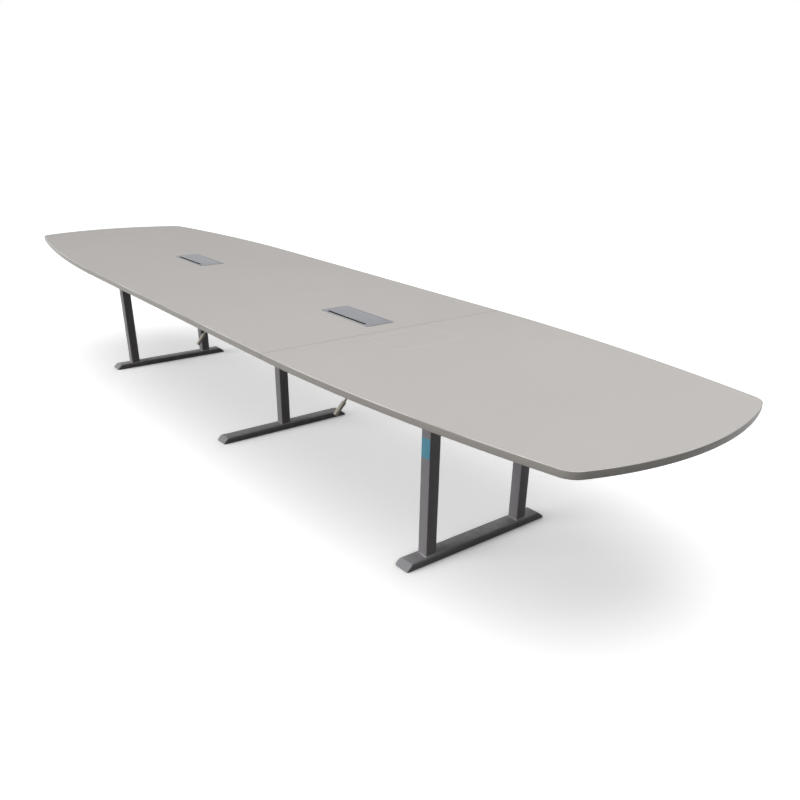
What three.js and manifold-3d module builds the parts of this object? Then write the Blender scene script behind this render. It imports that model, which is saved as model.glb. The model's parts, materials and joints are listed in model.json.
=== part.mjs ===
// Conference table: a boat-shaped top of two boards on three T-frames, joined by rails,
// with two flush power boxes whose lids open. Millimetres, +Z up, X along the table,
// origin on the floor under the middle of the top.
import * as THREE from "three";
import { mergeVertices } from "three/addons/utils/BufferGeometryUtils.js";
import Module from "manifold-3d";

const wasm = await Module();
wasm.setup();

// Top: straight sides between the taper starts, curved sides and bowed ends beyond them
const TOP_LENGTH = 4776;
const TOP_WIDTH = 1216;
const TOP_HEIGHT = 740;
const BOARD_THICKNESS = 25;
const TAPER_START = 924;
const END_WIDTH = 900;
const END_BOW = 92;
const TOP_CORNER_RADIUS = 70;
const SEAM_GAP = 1;
const EDGING_THICKNESS = 2;
const SIDE_STEPS = 14;
const END_STEPS = 20;
const CORNER_STEPS = 8;

// Frames: near and far have two posts, the middle one has a single post
const FRAME_PITCH = 1502;
const FRAME_SHIFT = -25;
const FOOT_LENGTH = 744;
const FOOT_WIDTH = 76;
const FOOT_HEIGHT = 28;
const FOOT_EDGE_RADIUS = 10;
const FOOT_WALL = 2.5;
const FOOT_END_RUN = 26;
const FOOT_NOSE = 6;
const CAP_THICKNESS = 8;
const CAP_CORNER = 8;
const CAP_PLUG_DEPTH = 10;
const POST_SIDE = 50;
const POST_WALL = 2;
const POST_EDGE_RADIUS = 3;
const POST_SETBACK = 127;
const BEAM_SETBACK = 158;
const BEAM_WIDTH = 50;
const BEAM_HEIGHT = 30;
const BEAM_WALL = 2;
const BEAM_EDGE_RADIUS = 3;

// Rails between the frames, and the plates under the joint of the boards
const RAIL_WIDTH = 30;
const RAIL_WALL = 2;
const RAIL_EDGE_RADIUS = 3;
const RAIL_PITCH = 300;
const BRACKET_THICKNESS = 4;
const BRACKET_WIDTH = 44;
const BRACKET_TONGUE = 22;
const BRACKET_HOLE = 14;
const SEAM_PLATE_LENGTH = 140;
const SEAM_PLATE_WIDTH = 60;
const SEAM_PLATE_THICKNESS = 4;
const SEAM_PLATE_SETBACK = 198;
const SEAM_PLATE_CORNER = 8;

// Screws that hold the beams to the boards
const SCREW_SETBACK = 50;
const SCREW_RADIUS = 3;
const SCREW_BITE = 18;
const SCREW_HEAD_RADIUS = 6.5;
const SCREW_HEAD_HEIGHT = 3.5;

// Levelling glides that turn in bosses inside the feet
const GLIDE_SETBACK = 52;
const GLIDE_RADIUS = 15;
const GLIDE_PAD_HEIGHT = 6;
const GLIDE_FLOOR_GAP = 0.5;
const STUD_RADIUS = 4;
const STUD_LENGTH = 17;
const BOSS_RADIUS = 8;
const BOSS_FLOOR_GAP = 9.5;

// Power boxes: bezel on the board, tub in the cut-out, lid hinged along its rear edge
const BOX_STATIONS = { near: 657, far: -934 };
const BOX_Y = 8;
const BEZEL_LENGTH = 352;
const BEZEL_WIDTH = 141;
const BEZEL_THICKNESS = 2.5;
const BEZEL_CORNER = 5;
const END_BORDER = 33;
const FRONT_BORDER = 8;
const REAR_BORDER = 6;
const SLOT_WIDTH = 14;
const LID_THICKNESS = 2.5;
const LID_LIP = 10;
const BARREL_RADIUS = 5;
const ROD_RADIUS = 1.5;
const ROD_OVERHANG = 0.5;
const TUB_DEPTH = 90;
const TUB_WALL = 2;
const TUB_LEDGE = 1;
const STRIP_LENGTH = 236;
const STRIP_WIDTH = 52;
const STRIP_HEIGHT = 40;
const STRIP_EDGE_RADIUS = 4;
const SOCKET_RADIUS = 19.5;
const SOCKET_DEPTH = 14;
const SOCKET_PITCH = 56;
const SOCKET_COUNT = 3;
const PORT_SIZE = 15;
const PORT_DEPTH = 10;

// Supply leads that hang from the tubs, each with a connector on its end
const LEAD_RADIUS = 4;
const LEAD_SIDES = 8;
const LEAD_SHIFT = 30;
const GLAND_LENGTH = 25;
const GLAND_TOP_RADIUS = 9;
const GLAND_FLANGE = 4;
const GLAND_TIP_RADIUS = 6;
const CONNECTOR_LENGTH = 72;
const CONNECTOR_WIDTH = 20;
const CONNECTOR_DEPTH = 15;
const CONNECTOR_CORNER = 3;
const CONNECTOR_NECK = 16;
const CONNECTOR_NECK_RADIUS = 6;

// Clearances: running and slip fits, and the gap at the hinge barrel and round the tub
const FIT = 0.3;
const BARREL_GAP = 0.8;
const TUB_CLEARANCE = 1;
const ROUND_SIDES = 24;
const SMALL_SIDES = 12;
const EDGE_STEPS = 3;

// Each lead's route below its gland: across the table, and down
const LEAD_ROUTES = {
  near: [
    [0, 0], [0, -14], [0, -28], [0, -42], [-0.7, -61.5], [-2.7, -81], [-6.1, -100.2], [-10.8, -119.2],
    [-16.9, -137.8], [-24.2, -155.9], [-32.8, -173.5], [-42.5, -190.4], [-53.5, -206.6], [-65.5, -222],
    [-78.6, -236.5], [-82, -240],
  ],
  far: [
    [0, 0], [0, -21], [0, -42], [0, -63], [0, -84], [0, -105], [0, -126], [0, -147], [0, -168], [0, -189],
    [0, -210], [0, -231], [0, -248], [-0.6, -259], [-3.1, -271], [-7.6, -282], [-12.6, -291], [-19, -299],
  ],
};

// Values worked out from the ones above
const UNDERSIDE = TOP_HEIGHT - BOARD_THICKNESS;
const BEAM_BOTTOM = UNDERSIDE - BEAM_HEIGHT;
const BEZEL_TOP = TOP_HEIGHT + BEZEL_THICKNESS;
const BEAM_LENGTH = TOP_WIDTH - 2 * BEAM_SETBACK;
const SCREW_PITCH = BEAM_LENGTH - 2 * SCREW_SETBACK;
const SEAM_PLATE_PITCH = TOP_WIDTH - 2 * SEAM_PLATE_SETBACK;
const POST_PITCH = FOOT_LENGTH - 2 * POST_SETBACK;
const GLIDE_PITCH = FOOT_LENGTH - 2 * GLIDE_SETBACK;
const FRAME_STATIONS = {
  near: FRAME_SHIFT + FRAME_PITCH,
  middle: FRAME_SHIFT,
  far: FRAME_SHIFT - FRAME_PITCH,
};
const SIDES = { left: -1, right: 1 };
const OPENING = {
  left: -BEZEL_LENGTH / 2 + END_BORDER,
  right: BEZEL_LENGTH / 2 - END_BORDER,
  front: -BEZEL_WIDTH / 2 + FRONT_BORDER,
  rear: BEZEL_WIDTH / 2 - REAR_BORDER,
};
const TUB_INNER = {
  left: OPENING.left - TUB_LEDGE,
  right: OPENING.right + TUB_LEDGE,
  front: OPENING.front - TUB_LEDGE,
  rear: OPENING.rear + TUB_LEDGE,
};
const TUB_OUTER = grown(TUB_INNER, TUB_WALL);
const CUT_OUT = grown(TUB_OUTER, TUB_CLEARANCE);
const TUB_FLOOR = TOP_HEIGHT - TUB_DEPTH;
const HINGE = {
  y: OPENING.rear - BARREL_GAP - BARREL_RADIUS,
  z: BEZEL_TOP - BARREL_RADIUS,
};
const LID_FRONT = OPENING.front + SLOT_WIDTH;
const LID_END_GAP = 1;

// Bases that turn a profile drawn in XY so that its depth runs along X or Y, and a lathe's axis to Z
const X = new THREE.Vector3(1, 0, 0);
const Y = new THREE.Vector3(0, 1, 0);
const Z = new THREE.Vector3(0, 0, 1);
const ALONG_X = new THREE.Matrix4().makeBasis(Y, Z, X);
const ALONG_Y = new THREE.Matrix4().makeBasis(X.clone().negate(), Z, Y);
const LATHE_UP = new THREE.Matrix4().makeBasis(X, Z, Y.clone().negate());

const MATERIALS = {
  laminate: finish(0xc6c3bf, 0.5, 0),
  edging: finish(0x8f8b86, 0.55, 0),
  paint: finish(0x5b595b, 0.45, 0.2),
  cap: finish(0x5e5c5e, 0.55, 0),
  zinc: finish(0xa9abad, 0.35, 0.9),
  glide: finish(0x1c1c1d, 0.7, 0),
  aluminium: finish(0xa3a5ab, 0.4, 0.7),
  tub: finish(0x161617, 0.6, 0.1),
  socket: finish(0x232325, 0.5, 0),
  lead: finish(0xc9c4b6, 0.6, 0),
};

const table = new THREE.Group();

/** A standard material with this colour, roughness and metalness. */
function finish(color, roughness, metalness) {
  return new THREE.MeshStandardMaterial({ color, roughness, metalness });
}

/** A rectangle's sides moved out by a distance. */
function grown(sides, by) {
  return {
    left: sides.left - by,
    right: sides.right + by,
    front: sides.front - by,
    rear: sides.rear + by,
  };
}

/** A closed geometry as a solid that can be cut and joined. */
function solidOf(geometry) {
  const bare = geometry.clone();
  bare.deleteAttribute("normal");
  bare.deleteAttribute("uv");
  const merged = mergeVertices(bare);
  return new wasm.Manifold(
    new wasm.Mesh({
      numProp: 3,
      vertProperties: merged.attributes.position.array,
      triVerts: new Uint32Array(merged.index.array),
    }),
  );
}

/** A cut or joined solid as a geometry. */
function geometryOf(solid) {
  const mesh = solid.getMesh();
  const geometry = new THREE.BufferGeometry();
  geometry.setAttribute("position", new THREE.BufferAttribute(mesh.vertProperties, 3));
  geometry.setIndex(new THREE.BufferAttribute(mesh.triVerts, 1));
  geometry.computeVertexNormals();
  return geometry;
}

/** Adds a named piece to a group. */
function add(group, name, geometry, material) {
  const mesh = new THREE.Mesh(geometry, material);
  mesh.name = name;
  group.add(mesh);
  return mesh;
}

/** A group placed in the table's frame. */
function placed(x, y, z) {
  const group = new THREE.Group();
  group.position.set(x, y, z);
  table.add(group);
  return group;
}

/** A shape pushed along +Z, then turned by a basis, from `start` for `length`. */
function prism(shape, start, length, basis = new THREE.Matrix4()) {
  const geometry = new THREE.ExtrudeGeometry(shape, {
    depth: length,
    bevelEnabled: false,
    curveSegments: EDGE_STEPS,
  });
  return geometry.translate(0, 0, start).applyMatrix4(basis);
}

/** A profile spun round the Z axis; its points are radius and height, from the axis to the axis. */
function spun(points, sides = ROUND_SIDES) {
  const profile = points.map(([radius, height]) => new THREE.Vector2(radius, height));
  return new THREE.LatheGeometry(profile, sides).applyMatrix4(LATHE_UP);
}

/** An upright round bar from one height to another. */
function bar(radius, bottom, top, sides = ROUND_SIDES) {
  return spun([[0, bottom], [radius, bottom], [radius, top], [0, top]], sides);
}

/** A rectangle with round corners, or sharp ones where the radius is 0. */
function rectangle(left, right, bottom, top, radius = 0) {
  const shape = new THREE.Shape();
  if (radius <= 0) {
    shape.moveTo(left, bottom);
    shape.lineTo(right, bottom);
    shape.lineTo(right, top);
    shape.lineTo(left, top);
    return shape;
  }
  shape.absarc(right - radius, bottom + radius, radius, -Math.PI / 2, 0);
  shape.absarc(right - radius, top - radius, radius, 0, Math.PI / 2);
  shape.absarc(left + radius, top - radius, radius, Math.PI / 2, Math.PI);
  shape.absarc(left + radius, bottom + radius, radius, Math.PI, Math.PI * 1.5);
  return shape;
}

/** The section of a rectangular tube, centred across and standing on `bottom`. */
function tubeSection(width, bottom, height, wall, radius) {
  const outer = rectangle(-width / 2, width / 2, bottom, bottom + height, radius);
  const bore = rectangle(
    -width / 2 + wall,
    width / 2 - wall,
    bottom + wall,
    bottom + height - wall,
    Math.max(radius - wall, 0),
  );
  outer.holes.push(bore);
  return outer;
}

/** Points of an arc round a centre, both ends included. */
function arc(centre, radius, from, to, steps) {
  const points = [];
  for (let i = 0; i <= steps; i += 1) {
    const angle = from + ((to - from) * i) / steps;
    points.push(
      new THREE.Vector2(centre.x + radius * Math.cos(angle), centre.y + radius * Math.sin(angle)),
    );
  }
  return points;
}

/**
 * The outline of one end of the top, from the taper start at -Y round to the one at +Y, inset by a
 * distance. Each side is an arc tangent to the straight side, the end is a flatter bow, and a round
 * corner touches both from inside.
 */
function endOutline(inset) {
  const half = TOP_WIDTH / 2;
  const run = TOP_LENGTH / 2 - TAPER_START;
  const drop = half - END_WIDTH / 2;
  const sideRadius = (run * run + drop * drop) / (2 * drop);
  const bowRadius = ((END_WIDTH / 2) ** 2 + END_BOW ** 2) / (2 * END_BOW);
  const sideCentre = new THREE.Vector2(TAPER_START, half - sideRadius);
  const bowCentre = new THREE.Vector2(TOP_LENGTH / 2 - bowRadius, 0);
  const corner = circleMeeting(
    sideCentre,
    sideRadius - TOP_CORNER_RADIUS,
    bowCentre,
    bowRadius - TOP_CORNER_RADIUS,
  );
  const sideEnd = corner.clone().sub(sideCentre).angle();
  const bowEnd = corner.clone().sub(bowCentre).angle();
  const upper = [
    ...arc(bowCentre, bowRadius - inset, 0, bowEnd, END_STEPS / 2),
    ...arc(corner, TOP_CORNER_RADIUS - inset, bowEnd, sideEnd, CORNER_STEPS).slice(1),
    ...arc(sideCentre, sideRadius - inset, sideEnd, Math.PI / 2, SIDE_STEPS).slice(1),
  ];
  const lower = upper.slice(1).map((p) => new THREE.Vector2(p.x, -p.y));
  return [...lower.reverse(), ...upper];
}

/** Where two circles meet, on the +X side. */
function circleMeeting(a, radiusA, b, radiusB) {
  const between = b.clone().sub(a);
  const distance = between.length();
  const along = (radiusA ** 2 - radiusB ** 2 + distance ** 2) / (2 * distance);
  const aside = Math.sqrt(radiusA ** 2 - along ** 2);
  const unit = between.divideScalar(distance);
  const foot = a.clone().addScaledVector(unit, along);
  const across = new THREE.Vector2(-unit.y, unit.x);
  const one = foot.clone().addScaledVector(across, aside);
  const other = foot.clone().addScaledVector(across, -aside);
  return one.x > other.x ? one : other;
}

/** The outline of a board from its joint edge at `jointX`, open along that edge. */
function boardOutline(end, jointX, inset) {
  const half = TOP_WIDTH / 2 - inset;
  const path = endOutline(inset).map((p) => p.multiplyScalar(end));
  const beyond = path.filter((p) => end * (p.x - jointX) > 0);
  const first = new THREE.Vector2(jointX, -end * half);
  const last = new THREE.Vector2(jointX, end * half);
  return [first, ...beyond, last];
}

/** Board solid inside its edging, with the given pieces cut out of it. */
function board(end, jointX, cuts) {
  const shape = new THREE.Shape(boardOutline(end, jointX, EDGING_THICKNESS + FIT));
  const blank = solidOf(prism(shape, UNDERSIDE, BOARD_THICKNESS));
  return geometryOf(cuts.reduce((rest, cut) => rest.subtract(solidOf(cut)), blank));
}

/** Edging strip round a board, open at the joint. */
function edging(end, jointX) {
  const outer = new THREE.Shape(boardOutline(end, jointX, 0));
  const inner = new THREE.Shape(boardOutline(end, jointX - end, EDGING_THICKNESS));
  const core = solidOf(prism(inner, UNDERSIDE - 1, BOARD_THICKNESS + 2));
  return geometryOf(solidOf(prism(outer, UNDERSIDE, BOARD_THICKNESS)).subtract(core));
}

/** Blind screw holes in a board above the beams at these stations. */
function screwHoles(stations) {
  const holes = [];
  for (const x of stations) {
    for (const side of Object.values(SIDES)) {
      const hole = bar(SCREW_RADIUS + FIT, UNDERSIDE - 1, UNDERSIDE + SCREW_BITE + 1, SMALL_SIDES);
      holes.push(hole.translate(x, (side * SCREW_PITCH) / 2, 0));
    }
  }
  return holes;
}

/** Cut-outs for the tubs, right through the board. */
function tubCutOuts() {
  const sides = CUT_OUT;
  const shape = rectangle(sides.left, sides.right, sides.front, sides.rear);
  return Object.values(BOX_STATIONS).map((x) =>
    prism(shape, UNDERSIDE - 1, BOARD_THICKNESS + 2).translate(x, BOX_Y, 0),
  );
}

/** Both boards of the top with their edging, and the plates that tie the joint. */
function buildTop() {
  const seam = TAPER_START;
  const mainCuts = [
    ...tubCutOuts(),
    ...screwHoles([FRAME_STATIONS.middle, FRAME_STATIONS.far]),
  ];
  const top = placed(0, 0, 0);
  add(top, "main_top_board", board(-1, seam - SEAM_GAP / 2, mainCuts), MATERIALS.laminate);
  add(top, "end_top_board", board(1, seam + SEAM_GAP / 2, screwHoles([FRAME_STATIONS.near])), MATERIALS.laminate);
  add(top, "main_top_edging", edging(-1, seam - SEAM_GAP / 2), MATERIALS.edging);
  add(top, "end_top_edging", edging(1, seam + SEAM_GAP / 2), MATERIALS.edging);
  for (const [side, sign] of Object.entries(SIDES)) {
    const plate = rectangle(
      -SEAM_PLATE_LENGTH / 2,
      SEAM_PLATE_LENGTH / 2,
      -SEAM_PLATE_WIDTH / 2,
      SEAM_PLATE_WIDTH / 2,
      SEAM_PLATE_CORNER,
    );
    const geometry = prism(plate, UNDERSIDE - SEAM_PLATE_THICKNESS, SEAM_PLATE_THICKNESS);
    add(top, `seam_plate_${side}`, geometry.translate(seam, (sign * SEAM_PLATE_PITCH) / 2, 0), MATERIALS.zinc);
  }
}

/** The foot's section: flat base and top, round upper edges; `inset` shrinks it all round. */
function footSection(inset) {
  const half = FOOT_WIDTH / 2 - inset;
  const bottom = inset;
  const top = FOOT_HEIGHT - inset;
  const radius = FOOT_EDGE_RADIUS - inset;
  const shape = new THREE.Shape();
  shape.moveTo(-half, bottom);
  shape.lineTo(half, bottom);
  shape.absarc(half - radius, top - radius, radius, 0, Math.PI / 2);
  shape.absarc(-half + radius, top - radius, radius, Math.PI / 2, Math.PI);
  return shape;
}

/** The side view of a foot: an upright nose and a slope at each end, both moved in by `inset`. */
function footSide(inset) {
  const half = FOOT_LENGTH / 2 - inset;
  const below = -FOOT_HEIGHT;
  const above = FOOT_HEIGHT * 2;
  const run = ((above - FOOT_NOSE) * FOOT_END_RUN) / (FOOT_HEIGHT - FOOT_NOSE);
  const shape = new THREE.Shape();
  shape.moveTo(-half, below);
  shape.lineTo(half, below);
  shape.lineTo(half, FOOT_NOSE);
  shape.lineTo(half - run, above);
  shape.lineTo(-half + run, above);
  shape.lineTo(-half, FOOT_NOSE);
  return shape;
}

/** A length of the foot's section, long enough to be cut to the sloped ends. */
function footBar(section) {
  const spare = FOOT_LENGTH + FOOT_WIDTH;
  return solidOf(prism(section, -spare / 2, spare, ALONG_Y));
}

/** Everything between the foot's sloped ends when they are moved in by `inset`. */
function footSpan(inset) {
  const wide = FOOT_WIDTH * 2;
  return solidOf(prism(footSide(inset), -wide / 2, wide, ALONG_X));
}

/** Hollow foot with sloped ends, and a boss over each glide. */
function footSolid() {
  const section = footSection(0);
  section.holes.push(footSection(FOOT_WALL));
  let foot = footBar(section).intersect(footSpan(CAP_THICKNESS + FIT));
  for (const side of Object.values(SIDES)) {
    const y = (side * GLIDE_PITCH) / 2;
    const boss = bar(BOSS_RADIUS, BOSS_FLOOR_GAP, FOOT_HEIGHT - FOOT_WALL / 2).translate(0, y, 0);
    const bore = bar(STUD_RADIUS + FIT, 0, FOOT_HEIGHT - FOOT_WALL).translate(0, y, 0);
    const mouth = bar(GLIDE_RADIUS + 1, -1, BOSS_FLOOR_GAP - 1).translate(0, y, 0);
    foot = foot.add(solidOf(boss)).subtract(solidOf(bore)).subtract(solidOf(mouth));
  }
  return foot;
}

/** Moulded cap on one sloped end, round at the nose's corners, with a plug inside the tube. */
function capSolid(side) {
  const half = prism(rectangle(-FOOT_WIDTH, FOOT_WIDTH, 0, FOOT_LENGTH), -FOOT_HEIGHT, FOOT_HEIGHT * 3);
  const end = solidOf(side > 0 ? half : half.rotateZ(Math.PI));
  const plan = rectangle(-FOOT_WIDTH / 2, FOOT_WIDTH / 2, -FOOT_LENGTH / 2, FOOT_LENGTH / 2, CAP_CORNER);
  const face = footBar(footSection(0))
    .intersect(footSpan(0))
    .intersect(solidOf(prism(plan, -FOOT_HEIGHT, FOOT_HEIGHT * 3)))
    .subtract(footSpan(CAP_THICKNESS));
  const plugFar = CAP_THICKNESS + CAP_PLUG_DEPTH;
  const plug = footBar(footSection(FOOT_WALL + FIT))
    .intersect(footSpan(CAP_THICKNESS / 2))
    .subtract(footSpan(plugFar));
  return face.add(plug).intersect(end);
}

/** Levelling glide: a round pad on a stud, at its highest setting. */
function glide() {
  const base = GLIDE_FLOOR_GAP;
  const shoulder = base + GLIDE_PAD_HEIGHT;
  return spun([
    [0, base],
    [GLIDE_RADIUS - 1, base],
    [GLIDE_RADIUS, base + 1],
    [GLIDE_RADIUS, shoulder - 2],
    [GLIDE_RADIUS - 2, shoulder],
    [STUD_RADIUS, shoulder],
    [STUD_RADIUS, shoulder + STUD_LENGTH],
    [0, shoulder + STUD_LENGTH],
  ]);
}

/** Pan-head screw up through a beam into the board. */
function screw() {
  return spun(
    [
      [0, BEAM_BOTTOM - SCREW_HEAD_HEIGHT],
      [SCREW_HEAD_RADIUS - 1.5, BEAM_BOTTOM - SCREW_HEAD_HEIGHT],
      [SCREW_HEAD_RADIUS, BEAM_BOTTOM - 1],
      [SCREW_HEAD_RADIUS, BEAM_BOTTOM],
      [SCREW_RADIUS, BEAM_BOTTOM],
      [SCREW_RADIUS, UNDERSIDE + SCREW_BITE],
      [0, UNDERSIDE + SCREW_BITE],
    ],
    SMALL_SIDES,
  );
}

/** Cross beam under the boards, drilled for its two screws. */
function beamSolid() {
  const section = tubeSection(BEAM_WIDTH, BEAM_BOTTOM, BEAM_HEIGHT, BEAM_WALL, BEAM_EDGE_RADIUS);
  let beam = solidOf(prism(section, -BEAM_LENGTH / 2, BEAM_LENGTH, ALONG_Y));
  for (const side of Object.values(SIDES)) {
    const hole = bar(SCREW_RADIUS + FIT, BEAM_BOTTOM - 1, UNDERSIDE + 1, SMALL_SIDES);
    beam = beam.subtract(solidOf(hole.translate(0, (side * SCREW_PITCH) / 2, 0)));
  }
  return beam;
}

/** One frame: foot, caps, glides, its posts, the cross beam and the beam's screws. */
function buildFrame(name, x, posts) {
  const frame = placed(x, 0, 0);
  add(frame, `${name}_foot`, geometryOf(footSolid()), MATERIALS.paint);
  add(frame, `${name}_beam`, geometryOf(beamSolid()), MATERIALS.paint);
  const half = POST_SIDE / 2;
  const section = tubeSection(POST_SIDE, -half, POST_SIDE, POST_WALL, POST_EDGE_RADIUS);
  const height = BEAM_BOTTOM - FOOT_HEIGHT;
  for (const [label, y] of Object.entries(posts)) {
    const post = prism(section, FOOT_HEIGHT, height).translate(0, y, 0);
    add(frame, `${name}_${label}`, post, MATERIALS.paint);
  }
  for (const [side, sign] of Object.entries(SIDES)) {
    const glideY = (sign * GLIDE_PITCH) / 2;
    add(frame, `${name}_foot_cap_${side}`, geometryOf(capSolid(sign)), MATERIALS.cap);
    add(frame, `${name}_glide_${side}`, glide().translate(0, glideY, 0), MATERIALS.glide);
    add(frame, `${name}_screw_${side}`, screw().translate(0, (sign * SCREW_PITCH) / 2, 0), MATERIALS.zinc);
  }
}

/** A rail between two beams; a bracket on each end, open into the tube, hooks under the beam. */
function railSolid(from, to) {
  const start = from + BEAM_WIDTH / 2;
  const end = to - BEAM_WIDTH / 2;
  const section = tubeSection(RAIL_WIDTH, BEAM_BOTTOM, BEAM_HEIGHT, RAIL_WALL, RAIL_EDGE_RADIUS);
  const length = end - start - BRACKET_THICKNESS;
  let rail = solidOf(prism(section, start + BRACKET_THICKNESS / 2, length, ALONG_X));
  for (const [face, away] of [[start, 1], [end, -1]]) {
    const bracket = new THREE.Shape();
    const floor = BEAM_BOTTOM - BRACKET_THICKNESS;
    bracket.moveTo(face + away * BRACKET_THICKNESS, UNDERSIDE);
    bracket.lineTo(face, UNDERSIDE);
    bracket.lineTo(face, BEAM_BOTTOM);
    bracket.lineTo(face - away * BRACKET_TONGUE, BEAM_BOTTOM);
    bracket.lineTo(face - away * BRACKET_TONGUE, floor);
    bracket.lineTo(face + away * BRACKET_THICKNESS, floor);
    const across = new THREE.Matrix4().makeBasis(X, Z, Y.clone().negate());
    rail = rail.add(solidOf(prism(bracket, -BRACKET_WIDTH / 2, BRACKET_WIDTH, across)));
  }
  const middle = BEAM_BOTTOM + BEAM_HEIGHT / 2;
  const half = BRACKET_HOLE / 2;
  const hole = rectangle(-half, half, middle - half, middle + half);
  return rail.subtract(solidOf(prism(hole, start - 1, end - start + 2, ALONG_X)));
}

/** Two rails in each bay between the frames. */
function buildRails() {
  const bays = {
    far: [FRAME_STATIONS.far, FRAME_STATIONS.middle],
    near: [FRAME_STATIONS.middle, FRAME_STATIONS.near],
  };
  for (const [bay, [from, to]] of Object.entries(bays)) {
    for (const [side, sign] of Object.entries(SIDES)) {
      const rails = placed(0, (sign * RAIL_PITCH) / 2, 0);
      add(rails, `${bay}_rail_${side}`, geometryOf(railSolid(from, to)), MATERIALS.paint);
    }
  }
}

/** Bezel of a power box: a flat frame on the board round the lid and the cable slot. */
function bezel() {
  const shape = rectangle(
    -BEZEL_LENGTH / 2,
    BEZEL_LENGTH / 2,
    -BEZEL_WIDTH / 2,
    BEZEL_WIDTH / 2,
    BEZEL_CORNER,
  );
  shape.holes.push(rectangle(OPENING.left, OPENING.right, OPENING.front, OPENING.rear));
  return prism(shape, TOP_HEIGHT, BEZEL_THICKNESS);
}

/** Tub in the cut-out: four walls and a floor, with holes for the hinge rod and the gland. */
function tubSolid() {
  const outer = rectangle(TUB_OUTER.left, TUB_OUTER.right, TUB_OUTER.front, TUB_OUTER.rear);
  const inner = rectangle(TUB_INNER.left, TUB_INNER.right, TUB_INNER.front, TUB_INNER.rear);
  const hollow = prism(inner, TUB_FLOOR + TUB_WALL, TUB_DEPTH);
  const glandHole = bar(GLAND_TIP_RADIUS + FIT, TUB_FLOOR - 1, TUB_FLOOR + TUB_WALL + 1);
  return solidOf(prism(outer, TUB_FLOOR, TUB_DEPTH))
    .subtract(solidOf(hollow))
    .subtract(solidOf(hingeBar(ROD_RADIUS + FIT, TUB_OUTER.left - 1, TUB_OUTER.right + 1)))
    .subtract(solidOf(glandHole.translate(LEAD_SHIFT, 0, 0)));
}

/** A round bar along the hinge line. */
function hingeBar(radius, from, to) {
  const round = new THREE.Shape().absarc(HINGE.y, HINGE.z, radius, 0, Math.PI * 2);
  const geometry = new THREE.ExtrudeGeometry(round, {
    depth: to - from,
    bevelEnabled: false,
    curveSegments: ROUND_SIDES / 2,
  });
  return geometry.translate(0, 0, from).applyMatrix4(ALONG_X);
}

/** Lid: a plate with a lip along its front edge and a hinge barrel along its rear edge. */
function lidSolid() {
  const left = OPENING.left + LID_END_GAP;
  const length = OPENING.right - OPENING.left - 2 * LID_END_GAP;
  const bottom = BEZEL_TOP - LID_THICKNESS;
  const section = new THREE.Shape();
  section.moveTo(LID_FRONT, BEZEL_TOP - LID_LIP);
  section.lineTo(LID_FRONT + LID_THICKNESS, BEZEL_TOP - LID_LIP);
  section.lineTo(LID_FRONT + LID_THICKNESS, bottom);
  section.lineTo(HINGE.y, bottom);
  section.lineTo(HINGE.y, BEZEL_TOP);
  section.lineTo(LID_FRONT, BEZEL_TOP);
  return solidOf(prism(section, left, length, ALONG_X))
    .add(solidOf(hingeBar(BARREL_RADIUS, left, left + length)))
    .subtract(solidOf(hingeBar(ROD_RADIUS + FIT, left - 1, left + length + 1)));
}

/** Socket strip on the tub's floor, with round sockets and two square ports in its top. */
function stripSolid() {
  const rear = TUB_INNER.rear - FIT;
  const bottom = TUB_FLOOR + TUB_WALL;
  const top = bottom + STRIP_HEIGHT;
  const middle = rear - STRIP_WIDTH / 2;
  const section = rectangle(rear - STRIP_WIDTH, rear, bottom, top, STRIP_EDGE_RADIUS);
  let strip = solidOf(prism(section, -STRIP_LENGTH / 2, STRIP_LENGTH, ALONG_X));
  const firstSocket = -STRIP_LENGTH / 2 + SOCKET_PITCH / 2 + STRIP_EDGE_RADIUS;
  for (let i = 0; i < SOCKET_COUNT; i += 1) {
    const socket = bar(SOCKET_RADIUS, top - SOCKET_DEPTH, top + 1);
    strip = strip.subtract(solidOf(socket.translate(firstSocket + i * SOCKET_PITCH, middle, 0)));
  }
  const portX = STRIP_LENGTH / 2 - PORT_SIZE - STRIP_EDGE_RADIUS;
  for (const side of Object.values(SIDES)) {
    const port = rectangle(-PORT_SIZE / 2, PORT_SIZE / 2, -PORT_SIZE / 2, PORT_SIZE / 2);
    const cut = prism(port, top - PORT_DEPTH, PORT_DEPTH + 1);
    strip = strip.subtract(solidOf(cut.translate(portX, middle + side * PORT_SIZE * 0.7, 0)));
  }
  return strip;
}

/** Tapered strain relief under the tub, with a neck up through its floor. */
function gland() {
  return spun([
    [0, TUB_FLOOR - GLAND_LENGTH],
    [GLAND_TIP_RADIUS, TUB_FLOOR - GLAND_LENGTH],
    [GLAND_TOP_RADIUS, TUB_FLOOR - GLAND_FLANGE],
    [GLAND_TOP_RADIUS + 2, TUB_FLOOR - GLAND_FLANGE],
    [GLAND_TOP_RADIUS + 2, TUB_FLOOR],
    [GLAND_TIP_RADIUS, TUB_FLOOR],
    [GLAND_TIP_RADIUS, TUB_FLOOR + TUB_WALL],
    [0, TUB_FLOOR + TUB_WALL],
  ]);
}

/** A lead's route as points below its gland. */
function leadPoints(route) {
  const start = TUB_FLOOR - GLAND_LENGTH - FIT;
  return route.map(([across, down]) => new THREE.Vector3(LEAD_SHIFT, across, start + down));
}

/** Supply lead: a round tube along its route. */
function lead(points) {
  const round = new THREE.Shape().absarc(0, 0, LEAD_RADIUS, 0, Math.PI * 2);
  return new THREE.ExtrudeGeometry(round, {
    steps: points.length,
    curveSegments: LEAD_SIDES,
    bevelEnabled: false,
    extrudePath: new THREE.CatmullRomCurve3(points),
  });
}

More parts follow.
